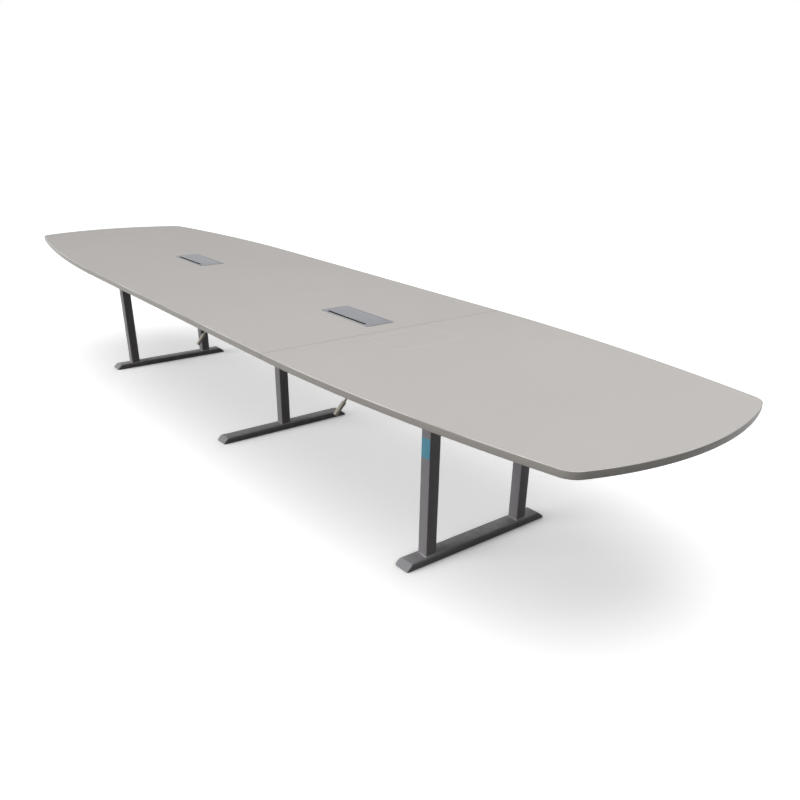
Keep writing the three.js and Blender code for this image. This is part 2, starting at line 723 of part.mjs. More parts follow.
/** Inline connector: a flat body behind a tapered neck, drawn upright with its neck on top. */
function connectorSolid() {
  const body = rectangle(
    -CONNECTOR_WIDTH / 2,
    CONNECTOR_WIDTH / 2,
    -CONNECTOR_DEPTH / 2,
    CONNECTOR_DEPTH / 2,
    CONNECTOR_CORNER,
  );
  const neckEnd = -FIT;
  const bodyTop = neckEnd - CONNECTOR_NECK;
  const neck = spun([
    [0, bodyTop - CONNECTOR_CORNER],
    [CONNECTOR_NECK_RADIUS + 1, bodyTop - CONNECTOR_CORNER],
    [CONNECTOR_NECK_RADIUS, bodyTop],
    [LEAD_RADIUS + 1, neckEnd],
    [0, neckEnd],
  ]);
  return solidOf(prism(body, bodyTop - CONNECTOR_LENGTH, CONNECTOR_LENGTH)).add(solidOf(neck));
}

/** One power box at a station along the table. */
function buildBox(name, x) {
  const box = placed(x, BOX_Y, 0);
  const rodReach = ROD_OVERHANG + TUB_WALL;
  const rod = hingeBar(ROD_RADIUS, TUB_INNER.left - rodReach, TUB_INNER.right + rodReach);
  add(box, `${name}_box_bezel`, bezel(), MATERIALS.aluminium);
  add(box, `${name}_box_tub`, geometryOf(tubSolid()), MATERIALS.tub);
  add(box, `${name}_box_lid`, geometryOf(lidSolid()), MATERIALS.aluminium);
  add(box, `${name}_box_hinge_rod`, rod, MATERIALS.zinc);
  add(box, `${name}_box_socket_strip`, geometryOf(stripSolid()), MATERIALS.socket);
  add(box, `${name}_lead_gland`, gland().translate(LEAD_SHIFT, 0, 0), MATERIALS.lead);
  const points = leadPoints(LEAD_ROUTES[name]);
  add(box, `${name}_lead`, lead(points), MATERIALS.lead);
  const end = points.at(-1);
  const heading = end.clone().sub(points.at(-2));
  const connector = add(box, `${name}_lead_connector`, geometryOf(connectorSolid()), MATERIALS.lead);
  connector.position.copy(end);
  connector.rotation.x = -Math.atan2(-heading.y, -heading.z);
}

buildTop();
const TWO_POSTS = { post_left: -POST_PITCH / 2, post_right: POST_PITCH / 2 };
const FRAME_POSTS = { near: TWO_POSTS, middle: { post: 0 }, far: TWO_POSTS };
for (const [name, x] of Object.entries(FRAME_STATIONS)) {
  buildFrame(name, x, FRAME_POSTS[name]);
}
buildRails();
for (const [name, x] of Object.entries(BOX_STATIONS)) {
  buildBox(name, x);
}

export default table;
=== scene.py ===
"""Looks of a boat-shaped conference table: two laminate boards on three steel T-frames, two power boxes."""

import json
import logging
import math
from dataclasses import dataclass
from enum import Enum

import bmesh
import bpy
import numpy as np
from mathutils import Matrix, Vector

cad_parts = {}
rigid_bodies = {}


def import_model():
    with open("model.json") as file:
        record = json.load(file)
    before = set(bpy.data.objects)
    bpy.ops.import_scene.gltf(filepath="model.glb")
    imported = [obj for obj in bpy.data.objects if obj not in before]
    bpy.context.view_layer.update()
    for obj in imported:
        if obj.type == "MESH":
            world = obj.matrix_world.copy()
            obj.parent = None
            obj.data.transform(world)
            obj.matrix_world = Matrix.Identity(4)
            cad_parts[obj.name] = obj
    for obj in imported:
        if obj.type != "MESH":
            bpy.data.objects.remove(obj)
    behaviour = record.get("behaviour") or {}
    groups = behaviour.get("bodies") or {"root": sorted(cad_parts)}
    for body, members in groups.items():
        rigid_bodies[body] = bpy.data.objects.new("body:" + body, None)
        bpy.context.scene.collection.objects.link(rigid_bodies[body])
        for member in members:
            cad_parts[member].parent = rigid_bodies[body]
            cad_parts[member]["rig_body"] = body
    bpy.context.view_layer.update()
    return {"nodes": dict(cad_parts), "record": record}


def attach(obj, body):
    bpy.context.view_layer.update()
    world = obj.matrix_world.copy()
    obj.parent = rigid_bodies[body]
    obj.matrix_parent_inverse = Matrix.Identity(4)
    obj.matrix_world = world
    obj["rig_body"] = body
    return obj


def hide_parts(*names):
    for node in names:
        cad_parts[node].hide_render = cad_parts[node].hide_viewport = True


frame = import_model()

LOG = logging.getLogger("conference_table")
TABLE_BODY = "table"


# Colour and node helpers


def linear(hex_colour: str) -> tuple[float, float, float, float]:
    """Turns a hex colour as seen on screen into linear light.

    Args:
        hex_colour: six hex digits.

    Returns:
        Red, green, blue and an alpha of 1.
    """
    seen = np.array([int(hex_colour[i : i + 2], 16) for i in (0, 2, 4)]) / 255
    light = np.where(seen <= 0.04045, seen / 12.92, ((seen + 0.055) / 1.055) ** 2.4)
    return (*light.tolist(), 1.0)


def shaded(colour: tuple[float, ...], amount: float) -> tuple[float, float, float, float]:
    """Scales a linear colour by one plus the amount."""
    return (*(min(c * (1 + amount), 1.0) for c in colour[:3]), 1.0)


class Graph:
    """A node tree with short ways to add and join nodes."""

    def __init__(self, tree: bpy.types.NodeTree) -> None:
        """Keeps the tree that the nodes go into."""
        self.tree = tree

    def node(self, kind: str, inputs: dict | None = None, **settings: object) -> bpy.types.Node:
        """Adds a node.

        Args:
            kind: the node's type name.
            inputs: socket name or number to a value, or to the output socket that feeds it.
            settings: properties of the node.

        Returns:
            The new node.
        """
        made = self.tree.nodes.new(kind)
        for key, value in settings.items():
            setattr(made, key, value)
        for key, value in (inputs or {}).items():
            if isinstance(value, bpy.types.NodeSocket):
                self.tree.links.new(value, made.inputs[key])
            else:
                made.inputs[key].default_value = value
        return made

    def mixed(self, mask: object, first: object, second: object, blend: str = "MIX") -> bpy.types.NodeSocket:
        """Mixes two colours by a mask.

        Args:
            mask: socket or value from 0, the first colour, to 1, the second.
            first: colour or socket.
            second: colour or socket.
            blend: how the second colour is laid on the first.

        Returns:
            The mixed colour's socket.
        """
        mix = self.node("ShaderNodeMix", {0: mask, 6: first, 7: second}, data_type="RGBA", blend_type=blend)
        return mix.outputs[2]

    def ranged(self, value: object, source: tuple[float, float], target: tuple[float, float]) -> bpy.types.NodeSocket:
        """Maps a value from one range to another and clamps it.

        Args:
            value: the socket to map.
            source: low and high of what comes in.
            target: low and high of what goes out.

        Returns:
            The mapped value's socket.
        """
        names = ("From Min", "From Max", "To Min", "To Max")
        limits = dict(zip(names, (*source, *target)))
        return self.node("ShaderNodeMapRange", {"Value": value, **limits}).outputs["Result"]

    def sum(self, operation: str, first: object, second: object) -> bpy.types.NodeSocket:
        """Works out one sum of two values."""
        return self.node("ShaderNodeMath", {0: first, 1: second}, operation=operation).outputs[0]


def new_group(name: str, inputs: dict[str, str], outputs: dict[str, str]) -> tuple[Graph, bpy.types.Node, bpy.types.Node]:
    """Starts a shader node group with named sockets.

    Args:
        name: the group's name.
        inputs: socket name to socket type.
        outputs: socket name to socket type.

    Returns:
        The group's graph, its input node and its output node.
    """
    tree = bpy.data.node_groups.new(name, "ShaderNodeTree")
    for label, kind in inputs.items():
        tree.interface.new_socket(label, in_out="INPUT", socket_type=kind)
    for label, kind in outputs.items():
        tree.interface.new_socket(label, in_out="OUTPUT", socket_type=kind)
    graph = Graph(tree)
    return graph, graph.node("NodeGroupInput"), graph.node("NodeGroupOutput")


class Effects:
    """Shared surface effects, each a node group made once."""

    FLOAT = "NodeSocketFloat"
    VECTOR = "NodeSocketVector"

    def __init__(self) -> None:
        """Builds the groups."""
        self.patches = self._soft_patches()
        self.grain = self._fine_grain()
        self.scuffs = self._scuffs()
        self.dust = self._settled_dust()
        self.outline = self._rectangle_outline()
        self.arris = self._rubbed_arris()

    def _soft_patches(self) -> bpy.types.NodeTree:
        """Broad, soft changes of tone: noise with few octaves, stretched to its full range."""
        graph, given, out = new_group(
            "soft_patches", {"Vector": self.VECTOR, "Scale": self.FLOAT}, {"Shade": self.FLOAT}
        )
        noise = graph.node(
            "ShaderNodeTexNoise",
            {"Vector": given.outputs["Vector"], "Scale": given.outputs["Scale"], "Detail": 3.0, "Roughness": 0.55},
        )
        shade = graph.ranged(noise.outputs["Fac"], (0.3, 0.7), (0.0, 1.0))
        graph.tree.links.new(shade, out.inputs["Shade"])
        return graph.tree

    def _fine_grain(self) -> bpy.types.NodeTree:
        """Fine grain: noise on coordinates that are shrunk along X by the stretch."""
        graph, given, out = new_group(
            "fine_grain",
            {"Vector": self.VECTOR, "Scale": self.FLOAT, "Stretch": self.FLOAT},
            {"Grain": self.FLOAT},
        )
        along = graph.sum("DIVIDE", 1.0, given.outputs["Stretch"])
        factors = graph.node("ShaderNodeCombineXYZ", {"X": along, "Y": 1.0, "Z": 1.0})
        drawn = graph.node(
            "ShaderNodeVectorMath",
            {0: given.outputs["Vector"], 1: factors.outputs[0]},
            operation="MULTIPLY",
        )
        noise = graph.node(
            "ShaderNodeTexNoise",
            {"Vector": drawn.outputs[0], "Scale": given.outputs["Scale"], "Detail": 4.0, "Roughness": 0.6},
        )
        grain = graph.ranged(noise.outputs["Fac"], (0.25, 0.75), (0.0, 1.0))
        graph.tree.links.new(grain, out.inputs["Grain"])
        return graph.tree

    def _scuffs(self) -> bpy.types.NodeTree:
        """Hairline scratches: peaks of a noise drawn out along a turned X, kept where a broad noise is high."""
        graph, given, out = new_group(
            "scuffs", {"Vector": self.VECTOR, "Turn": self.FLOAT, "Cover": self.FLOAT}, {"Mask": self.FLOAT}
        )
        turned = graph.node(
            "ShaderNodeVectorRotate",
            {"Vector": given.outputs["Vector"], "Angle": given.outputs["Turn"]},
            rotation_type="Z_AXIS",
        )
        drawn = graph.node(
            "ShaderNodeVectorMath", {0: turned.outputs[0], 1: (6.0, 420.0, 420.0)}, operation="MULTIPLY"
        )
        hairs = graph.node("ShaderNodeTexNoise", {"Vector": drawn.outputs[0], "Scale": 1.0, "Detail": 1.0})
        lines = graph.ranged(hairs.outputs["Fac"], (0.7, 0.76), (0.0, 1.0))
        where = graph.node("ShaderNodeTexNoise", {"Vector": given.outputs["Vector"], "Scale": 5.0, "Detail": 2.0})
        start = graph.sum("SUBTRACT", 0.75, given.outputs["Cover"])
        above = graph.sum("SUBTRACT", where.outputs["Fac"], start)
        kept = graph.ranged(above, (0.0, 0.12), (0.0, 1.0))
        graph.tree.links.new(graph.sum("MULTIPLY", lines, kept), out.inputs["Mask"])
        return graph.tree

    def _settled_dust(self) -> bpy.types.NodeTree:
        """Dust on faces that look up, on the frame paint heavy enough to be mostly painted light: the normal's Z past
        a limit, broken up by noise.
        """
        graph, given, out = new_group(
            "settled_dust_and_top_light", {"Vector": self.VECTOR, "Normal": self.VECTOR}, {"Mask": self.FLOAT}
        )
        parts = graph.node("ShaderNodeSeparateXYZ", {0: given.outputs["Normal"]})
        facing_up = graph.ranged(parts.outputs["Z"], (0.55, 0.98), (0.0, 1.0))
        noise = graph.node(
            "ShaderNodeTexNoise", {"Vector": given.outputs["Vector"], "Scale": 28.0, "Detail": 6.0, "Roughness": 0.65}
        )
        broken = graph.ranged(noise.outputs["Fac"], (0.3, 0.7), (0.35, 1.0))
        graph.tree.links.new(graph.sum("MULTIPLY", facing_up, broken), out.inputs["Mask"])
        return graph.tree

    def _rubbed_arris(self) -> bpy.types.NodeTree:
        """Painted highlight along the upper edge: faces that lean up but aren't level, broken up along their length by
        noise.
        """
        graph, given, out = new_group(
            "painted_arris_highlight", {"Vector": self.VECTOR, "Normal": self.VECTOR}, {"Mask": self.FLOAT}
        )
        parts = graph.node("ShaderNodeSeparateXYZ", {0: given.outputs["Normal"]})
        leaning = graph.ranged(parts.outputs["Z"], (0.15, 0.5), (0.0, 1.0))
        level = graph.ranged(parts.outputs["Z"], (0.9, 0.99), (1.0, 0.0))
        noise = graph.node("ShaderNodeTexNoise", {"Vector": given.outputs["Vector"], "Scale": 3.0, "Detail": 4.0})
        broken = graph.ranged(noise.outputs["Fac"], (0.35, 0.6), (0.25, 1.0))
        # painted highlight: mask of a bright line along each upper arris
        highlight_mask = graph.sum("MULTIPLY", graph.sum("MULTIPLY", leaning, level), broken)
        graph.tree.links.new(highlight_mask, out.inputs["Mask"])
        return graph.tree

    def _rectangle_outline(self) -> bpy.types.NodeTree:
        """A faint rectangle drawn as a line: the larger of the two distances past its half sizes, near zero."""
        graph, given, out = new_group(
            "rectangle_outline",
            {"Vector": self.VECTOR, "Half X": self.FLOAT, "Half Y": self.FLOAT, "Line": self.FLOAT},
            {"Mask": self.FLOAT},
        )
        parts = graph.node("ShaderNodeSeparateXYZ", {0: given.outputs["Vector"]})
        far_x = graph.node("ShaderNodeMath", {0: parts.outputs["X"]}, operation="ABSOLUTE").outputs[0]
        far_y = graph.node("ShaderNodeMath", {0: parts.outputs["Y"]}, operation="ABSOLUTE").outputs[0]
        past_x = graph.sum("SUBTRACT", far_x, given.outputs["Half X"])
        past_y = graph.sum("SUBTRACT", far_y, given.outputs["Half Y"])
        past = graph.sum("MAXIMUM", past_x, past_y)
        near = graph.node("ShaderNodeMath", {0: past}, operation="ABSOLUTE").outputs[0]
        share = graph.sum("DIVIDE", near, given.outputs["Line"])
        mask = graph.ranged(share, (0.0, 1.0), (1.0, 0.0))
        graph.tree.links.new(mask, out.inputs["Mask"])
        return graph.tree


# Finishes


class Texture(Enum):
    """How the fine relief of a finish runs."""

    EVEN = 1.0
    BRUSHED = 30.0


@dataclass(frozen=True)
class Finish:
    """A surface finish that becomes one procedural material.

    Sizes of patterns are in metres; tone, dust (partly painted light on upward faces) and scuff are shares from 0 to
    1.
    """

    name: str
    colour: str
    roughness: float
    texture: Texture = Texture.EVEN
    metallic: float = 0.0
    tone: float = 0.05
    patch_size: float = 0.25
    grain_size: float = 0.002
    grain_tone: float = 0.03
    relief: float = 0.00002
    dust: float = 0.0
    scuff: float = 0.0
    scuff_cover: float = 0.1
    specular: float = 0.5

    def material(self, effects: Effects) -> bpy.types.Material:
        """Builds the material.

        Args:
            effects: the shared node groups.

        Returns:
            A material with the finish's colour, gloss and relief.
        """
        made = bpy.data.materials.new(self.name)
        made.use_nodes = True
        graph = Graph(made.node_tree)
        shader = made.node_tree.nodes["Principled BSDF"]
        shader.inputs["Metallic"].default_value = self.metallic
        shader.inputs["Specular IOR Level"].default_value = self.specular
        place = graph.node("ShaderNodeTexCoord").outputs["Object"]
        grain = self._effect(
            graph, effects.grain, Vector=place, Scale=1 / self.grain_size, Stretch=self.texture.value
        ).outputs["Grain"]
        colour = self._colour(graph, effects, place, grain)
        rough = graph.ranged(grain, (0.0, 1.0), (self.roughness * 0.9, min(self.roughness * 1.12, 1.0)))
        bump = graph.node("ShaderNodeBump", {"Height": grain, "Strength": 1.0, "Distance": self.relief})
        for socket, source in (("Base Color", colour), ("Roughness", rough), ("Normal", bump.outputs["Normal"])):
            made.node_tree.links.new(source, shader.inputs[socket])
        return made

    def _effect(self, graph: Graph, group: bpy.types.NodeTree, **inputs: object) -> bpy.types.Node:
        """Places a shared effect in the material with its own values."""
        node = graph.node("ShaderNodeGroup", node_tree=group)
        for name, value in inputs.items():
            if isinstance(value, bpy.types.NodeSocket):
                graph.tree.links.new(value, node.inputs[name])
            else:
                node.inputs[name].default_value = value
        return node

    def _colour(
        self,
        graph: Graph,
        effects: Effects,
        place: bpy.types.NodeSocket,
        grain: bpy.types.NodeSocket,
    ) -> bpy.types.NodeSocket:
        """Lays broad patches, grain, rub marks and dust over the plain colour; the dust also paints upward faces
        lighter.

        Args:
            graph: the material's graph.
            effects: the shared node groups.
            place: Object coordinates.
            grain: the grain's value.

        Returns:
            The colour's socket.
        """
        plain = linear(self.colour)
        shade = self._effect(graph, effects.patches, Vector=place, Scale=1 / self.patch_size).outputs["Shade"]
        colour = graph.mixed(shade, shaded(plain, -self.tone), shaded(plain, self.tone))
        deep = 1 - self.grain_tone
        colour = graph.mixed(grain, colour, graph.mixed(1.0, colour, (deep, deep, deep, 1.0), "MULTIPLY"))
        if self.scuff > 0:
            marks = self._effect(graph, effects.scuffs, Vector=place, Turn=0.5, Cover=self.scuff_cover)
            strength = graph.sum("MULTIPLY", marks.outputs["Mask"], self.scuff)
            colour = graph.mixed(strength, colour, shaded(plain, 0.9))
        # dust on upward faces; at the frame paint's high share it is painted light, its upward faces made lighter
        if self.dust > 0:
            normal = graph.node("ShaderNodeNewGeometry").outputs["Normal"]
            dust_and_light_mask = self._effect(graph, effects.dust, Vector=place, Normal=normal)
            strength = graph.sum("MULTIPLY", dust_and_light_mask.outputs["Mask"], self.dust)
            colour = graph.mixed(strength, colour, linear("c0bfc1"))
        return colour


@dataclass(frozen=True)
class BoardFinish(Finish):
    """Laminate with the faint trace of a mat, painted shade along the joint and a dark core on its cut edges."""

    trace_centre: tuple[float, float] = (1.075, -0.008)
    trace_half: tuple[float, float] = (0.105, 0.158)
    trace_line: float = 0.007
    trace_strength: float = 0.2
    joint: float = 0.924
    grime_reach: float = 0.004
    grime: float = 0.2
    core: str = "4a4038"

    def _colour(
        self,
        graph: Graph,
        effects: Effects,
        place: bpy.types.NodeSocket,
        grain: bpy.types.NodeSocket,
    ) -> bpy.types.NodeSocket:
        """Adds the trace, the painted shade along the joint and the core over the plain finish's colour.

        Args:
            graph: the material's graph.
            effects: the shared node groups.
            place: Object coordinates.
            grain: the grain's value.

        Returns:
            The colour's socket.
        """
        colour = super()._colour(graph, effects, place, grain)
        moved = graph.node("ShaderNodeMapping", {"Vector": place, "Location": (-self.trace_centre[0], -self.trace_centre[1], 0)})
        line = self._effect(
            graph,
            effects.outline,
            Vector=moved.outputs[0],
            Line=self.trace_line,
            **{"Half X": self.trace_half[0], "Half Y": self.trace_half[1]},
        )
        strength = graph.sum("MULTIPLY", line.outputs["Mask"], self.trace_strength)
        colour = graph.mixed(strength, colour, shaded(linear(self.colour), 0.35))
        # painted shade: the top darkens towards the core colour within a few millimetres of the joint
        along = graph.node("ShaderNodeSeparateXYZ", {0: place}).outputs["X"]
        past = graph.sum("SUBTRACT", along, self.joint)
        away = graph.node("ShaderNodeMath", {0: past}, operation="ABSOLUTE").outputs[0]
        grime = graph.ranged(away, (0.0, self.grime_reach), (self.grime, 0.0))
        colour = graph.mixed(grime, colour, linear(self.core))
        normal = graph.node("ShaderNodeNewGeometry").outputs["Normal"]
        level = graph.node("ShaderNodeSeparateXYZ", {0: normal}).outputs["Z"]
        steep = graph.node("ShaderNodeMath", {0: level}, operation="ABSOLUTE").outputs[0]
        return graph.mixed(graph.ranged(steep, (0.4, 0.6), (0.0, 1.0)), linear(self.core), colour)


@dataclass(frozen=True)
class ArrisHighlightFinish(Finish):
    """A finish with a painted highlight along its upper arrises."""

    arris_strength: float = 0.85

    def _colour(
        self,
        graph: Graph,
        effects: Effects,
        place: bpy.types.NodeSocket,
        grain: bpy.types.NodeSocket,
    ) -> bpy.types.NodeSocket:
        """Paints a highlight on the upper arris over the plain finish's colour.

        Args:
            graph: the material's graph.
            effects: the shared node groups.
            place: Object coordinates.
            grain: the grain's value.

        Returns:
            The colour's socket.
        """
        colour = super()._colour(graph, effects, place, grain)
        # painted highlight: the upper arris is mixed towards near white
        normal = graph.node("ShaderNodeNewGeometry").outputs["Normal"]
        arris = self._effect(graph, effects.arris, Normal=normal, Vector=place)
        strength = graph.sum("MULTIPLY", arris.outputs["Mask"], self.arris_strength)
        return graph.mixed(strength, colour, linear("f6f4f1"))


class Slot(Enum):
    """The record's material slots, each with its finish."""

    LAMINATE = BoardFinish(
        "laminate", "b8b4b1", 0.58, specular=0.08, tone=0.018, patch_size=0.7, grain_size=0.0016, grain_tone=0.035,
        relief=0.000012, scuff=0.25, scuff_cover=0.14,
    )
    # painted highlight along the edging's upper arris
    EDGING = ArrisHighlightFinish(
        "edging", "98948f", 0.35, specular=0.3, tone=0.03, patch_size=0.4, grain_size=0.003, grain_tone=0.03, scuff=0.2
    )
    # its high dust share is mostly painted light: the feet's upward faces made lighter
    FRAME_PAINT = Finish(
        "frame_paint", "8f8c8f", 0.45, specular=0.2, tone=0.06, patch_size=0.18, grain_size=0.0022,
        grain_tone=0.06, relief=0.00006, dust=0.62, scuff=0.35, scuff_cover=0.16,
    )
    FOOT_CAP = Finish(
        "foot_cap", "9c9a9e", 0.5, specular=0.3, tone=0.05, patch_size=0.05, grain_size=0.0012, grain_tone=0.06,
        relief=0.00004, dust=0.3, scuff=0.4, scuff_cover=0.2,
    )
    ZINC = Finish("zinc", "b4b6b8", 0.34, metallic=1.0, tone=0.12, patch_size=0.012, grain_size=0.002, relief=0.00001)
    GLIDE = Finish("glide", "1d1d1e", 0.6, tone=0.06, patch_size=0.02, grain_size=0.001, relief=0.00003)
    # painted highlight along the box's upper arrises, the lid's front edge among them
    BOX_ALUMINIUM = ArrisHighlightFinish(
        "box_aluminium", "84868c", 0.38, Texture.BRUSHED, metallic=0.5, specular=0.15, tone=0.03, patch_size=0.12,
        grain_size=0.0007, grain_tone=0.08, relief=0.000012, arris_strength=0.85,
    )
    TUB_PAINT = Finish("tub_paint", "151516", 0.55, tone=0.08, patch_size=0.06, grain_size=0.0015, relief=0.00004, dust=0.08)
    SOCKET = Finish("socket", "1f1f21", 0.45, tone=0.05, patch_size=0.05, grain_size=0.0009, relief=0.00003, dust=0.05)
    LEAD = Finish("lead", "d4cdbd", 0.48, tone=0.05, patch_size=0.04, grain_size=0.0015, relief=0.00002)

    @property
    def label(self) -> str:
        """The slot's name in the record."""
        return self.name.lower()


STICKER = Finish("sticker", "4b93aa", 0.5, tone=0.05, patch_size=0.02, grain_size=0.0008, grain_tone=0.05, relief=0.00001)
BRISTLE = Finish("bristle", "0c0c0d", 0.9, specular=0.0, tone=0.2, patch_size=0.004, grain_size=0.0006, relief=0.00001)
# painted highlight: the weld bead is lighter than the frame paint, giving a light line round each post's foot
BEAD_HIGHLIGHT = Finish("weld_bead_highlight", "a8a7ab", 0.4, metallic=0.2, tone=0.1, patch_size=0.01, grain_size=0.0016, relief=0.0001)
CONTACT = Finish("contact_shade", "c2b27a", 0.3, metallic=1.0, tone=0.08, patch_size=0.004, grain_size=0.0008, relief=0.000005)


class Workshop:
    """Makes pieces, gives them their finish and ties them to the frame."""

    SHARP = math.radians(35)

    def __init__(self) -> None:
        """Builds the shared effects and the record's slot of each node."""
        self.effects = Effects()
        self.materials: dict[str, bpy.types.Material] = {}
        self.slots = {s["node"]: Slot[s["material_slot"].upper()] for s in frame["record"]["subparts"]}

    def material(self, finish: Finish) -> bpy.types.Material:
        """The finish's material, made the first time it is asked for."""
        if finish.name not in self.materials:
            self.materials[finish.name] = finish.material(self.effects)
        return self.materials[finish.name]

    def piece(
        self,
        name: str,
        mesh: bpy.types.Mesh,
        slot: Slot,
        body: str = TABLE_BODY,
        stands_for: tuple[str, ...] = (),
        finish: Finish | None = None,
    ) -> bpy.types.Object:
        """Adds a piece to the scene.

        Args:
            name: the piece's name.
            mesh: its mesh, in the table's frame.
            slot: the record's slot that it takes its finish from.
            body: the body that it rides on.
            stands_for: the nodes that it replaces.
            finish: its finish, where that isn't the slot's own.

        Returns:
            The piece's object.
        """
        made = bpy.data.objects.new(name, mesh)
        bpy.context.scene.collection.objects.link(made)
        mesh.materials.clear()
        mesh.materials.append(self.material(finish or slot.value))
        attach(made, body)
        if stands_for:
            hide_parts(*stands_for)
        LOG.info("piece %s on %s, %d faces", name, body, len(mesh.polygons))
        return made

    def surface(self, name: str, rings: np.ndarray, closed_path: bool = False) -> bpy.types.Mesh:
        """Makes a closed mesh from rings of points: each ring is joined to the next, point by point.

        Args:
            name: the mesh's name.
            rings: array of rings, points and three coordinates.
            closed_path: whether the last ring is joined to the first; if not, both ends are capped.

        Returns:
            The mesh, faces out and shaded smooth between sharp edges.
        """
        count, around = rings.shape[:2]
        index = np.arange(count * around).reshape(count, around)
        caps = [] if closed_path else [index[0, ::-1].tolist(), index[-1].tolist()]
        rows = np.vstack([index, index[:1]]) if closed_path else index
        grid = np.hstack([rows, rows[:, :1]])
        quads = np.stack([grid[:-1, :-1], grid[:-1, 1:], grid[1:, 1:], grid[1:, :-1]], axis=-1)
        mesh = bpy.data.meshes.new(name)
        mesh.from_pydata(rings.reshape(-1, 3).tolist(), [], quads.reshape(-1, 4).tolist() + caps)
        self._tidy(mesh)
        return mesh

    def joined(self, name: str, parts: list[bpy.types.Mesh]) -> bpy.types.Mesh:
        """Puts several meshes into one.

        Args:
            name: the new mesh's name.
            parts: the meshes, which are removed.

        Returns:
            One mesh that holds them all.
        """
        whole = bmesh.new()
        for part in parts:
            whole.from_mesh(part)
        mesh = bpy.data.meshes.new(name)
        whole.to_mesh(mesh)
        whole.free()
        for part in parts:
            bpy.data.meshes.remove(part)
        self._shade(mesh)
        return mesh

    def heads(
        self, name: str, places: list[tuple[float, float]], face: float, radius: float
    ) -> bpy.types.Mesh:
        """Low domed heads under a level face: part of an ellipse turned about each place's upright axis.

        Args:
            name: the mesh's name.
            places: where the heads are.
            face: height of the face that they lie under.
            radius: their radius; each is half as high.

        Returns:
            The mesh of all heads.
        """
        dome = arc((0.0, 0.0), radius, 0, math.radians(72), 5)
        profile = np.stack([dome[:, 0], face - dome[:, 1] / 2], axis=-1)
        made = [self.surface("head", turned_rings(profile, place, 16)) for place in places]
        return self.joined(name, made)

    def _tidy(self, mesh: bpy.types.Mesh) -> None:
        """Turns a closed mesh's faces outwards and shades it."""
        shell = bmesh.new()
        shell.from_mesh(mesh)
        bmesh.ops.recalc_face_normals(shell, faces=shell.faces)
        shell.to_mesh(mesh)
        shell.free()
        self._shade(mesh)

    def _shade(self, mesh: bpy.types.Mesh) -> None:
        """Shades a mesh smooth, with its sharp edges kept sharp."""
        mesh.shade_smooth()
        mesh.set_sharp_from_angle(angle=self.SHARP)

    def finished_node(self, node: str, arris: float, segments: int = 2) -> bpy.types.Object:
        """Stands in for a CAD node with its own shape and softened edges.

        Args:
            node: the CAD node.
            arris: width of the bevel on its sharp edges.
            segments: faces across that bevel.

        Returns:
            The piece that replaces the node.
        """
        source = frame["nodes"][node]
        shell = bmesh.new()
        shell.from_mesh(source.data)
        bmesh.ops.remove_doubles(shell, verts=shell.verts, dist=1e-6)
        bmesh.ops.dissolve_limit(
            shell, angle_limit=math.radians(0.3), verts=shell.verts, edges=shell.edges, delimit={"NORMAL"}
        )
        mesh = bpy.data.meshes.new(f"{node}_finished")
        shell.to_mesh(mesh)
        shell.free()
        self._shade(mesh)
        piece = self.piece(f"{node}_finished", mesh, self.slots[node], source["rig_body"], (node,))
        bevel = piece.modifiers.new("arris", "BEVEL")
        bevel.width = arris
        bevel.segments = segments
        bevel.limit_method = "ANGLE"
        bevel.angle_limit = self.SHARP
        bevel.harden_normals = True
        return piece


# Curves and sections


def arc(centre: tuple[float, float], radius: float, start: float, end: float, steps: int) -> np.ndarray:
    """Points round a centre at one radius, the angle going evenly from start to end.

    Args:
        centre: the arc's centre.
        radius: its radius.
        start: first angle in radians.
        end: last angle in radians.
        steps: number of equal steps.

    Returns:
        An array of points, both ends included.
    """
    angle = np.linspace(start, end, steps + 1)
    return np.stack([centre[0] + radius * np.cos(angle), centre[1] + radius * np.sin(angle)], axis=-1)


def rounded_rectangle(half_x: float, half_y: float, radius: float, steps: int = 4) -> np.ndarray:
    """Outline of a rectangle about the origin: four quarter arcs joined by straight sides.

    Args:
        half_x: half its width.
        half_y: half its height.
        radius: radius of its corners.
        steps: steps in each corner.

    Returns:
        An array of points, anticlockwise.
    """
    x, y = half_x - radius, half_y - radius
    quarter = math.pi / 2
    corners = (((x, y), 0), ((-x, y), 1), ((-x, -y), 2), ((x, -y), 3))
    return np.vstack([arc(c, radius, turn * quarter, (turn + 1) * quarter, steps) for c, turn in corners])


def smooth_route(points: np.ndarray, steps: int = 5) -> np.ndarray:
    """A smooth line through points: between each two, the cubic with the neighbours' slopes.

    Args:
        points: the points that the line passes.
        steps: steps between two points.

    Returns:
        The denser array of points.
    """
    first, last = 2 * points[0] - points[1], 2 * points[-1] - points[-2]
    ends = np.vstack([first, points, last])
    before, start, end, after = (ends[i : len(ends) - 3 + i, None, :] for i in range(4))
    t = np.linspace(0, 1, steps, endpoint=False)[None, :, None]
    line = 0.5 * (
        2 * start
        + (end - before) * t
        + (2 * before - 5 * start + 4 * end - after) * t**2
        + (3 * start - before - 3 * end + after) * t**3
    )
    return np.vstack([line.reshape(-1, 3), points[-1:]])


def tube_rings(line: np.ndarray, radius: float, sides: int = 16) -> np.ndarray:
    """Rings of a round tube along a line in a plane of constant X: each ring is at right angles to the line.

    Args:
        line: points of the centre line.
        radius: the tube's radius.
        sides: points in a ring.

    Returns:
        An array of rings.
    """
    heading = np.gradient(line, axis=0)
    heading /= np.linalg.norm(heading, axis=1, keepdims=True)
    aside = np.array([1.0, 0.0, 0.0])
    normal = np.cross(heading, aside)
    angle = np.linspace(0, 2 * math.pi, sides, endpoint=False)[None, :, None]
    return line[:, None, :] + radius * (np.cos(angle) * aside + np.sin(angle) * normal[:, None, :])


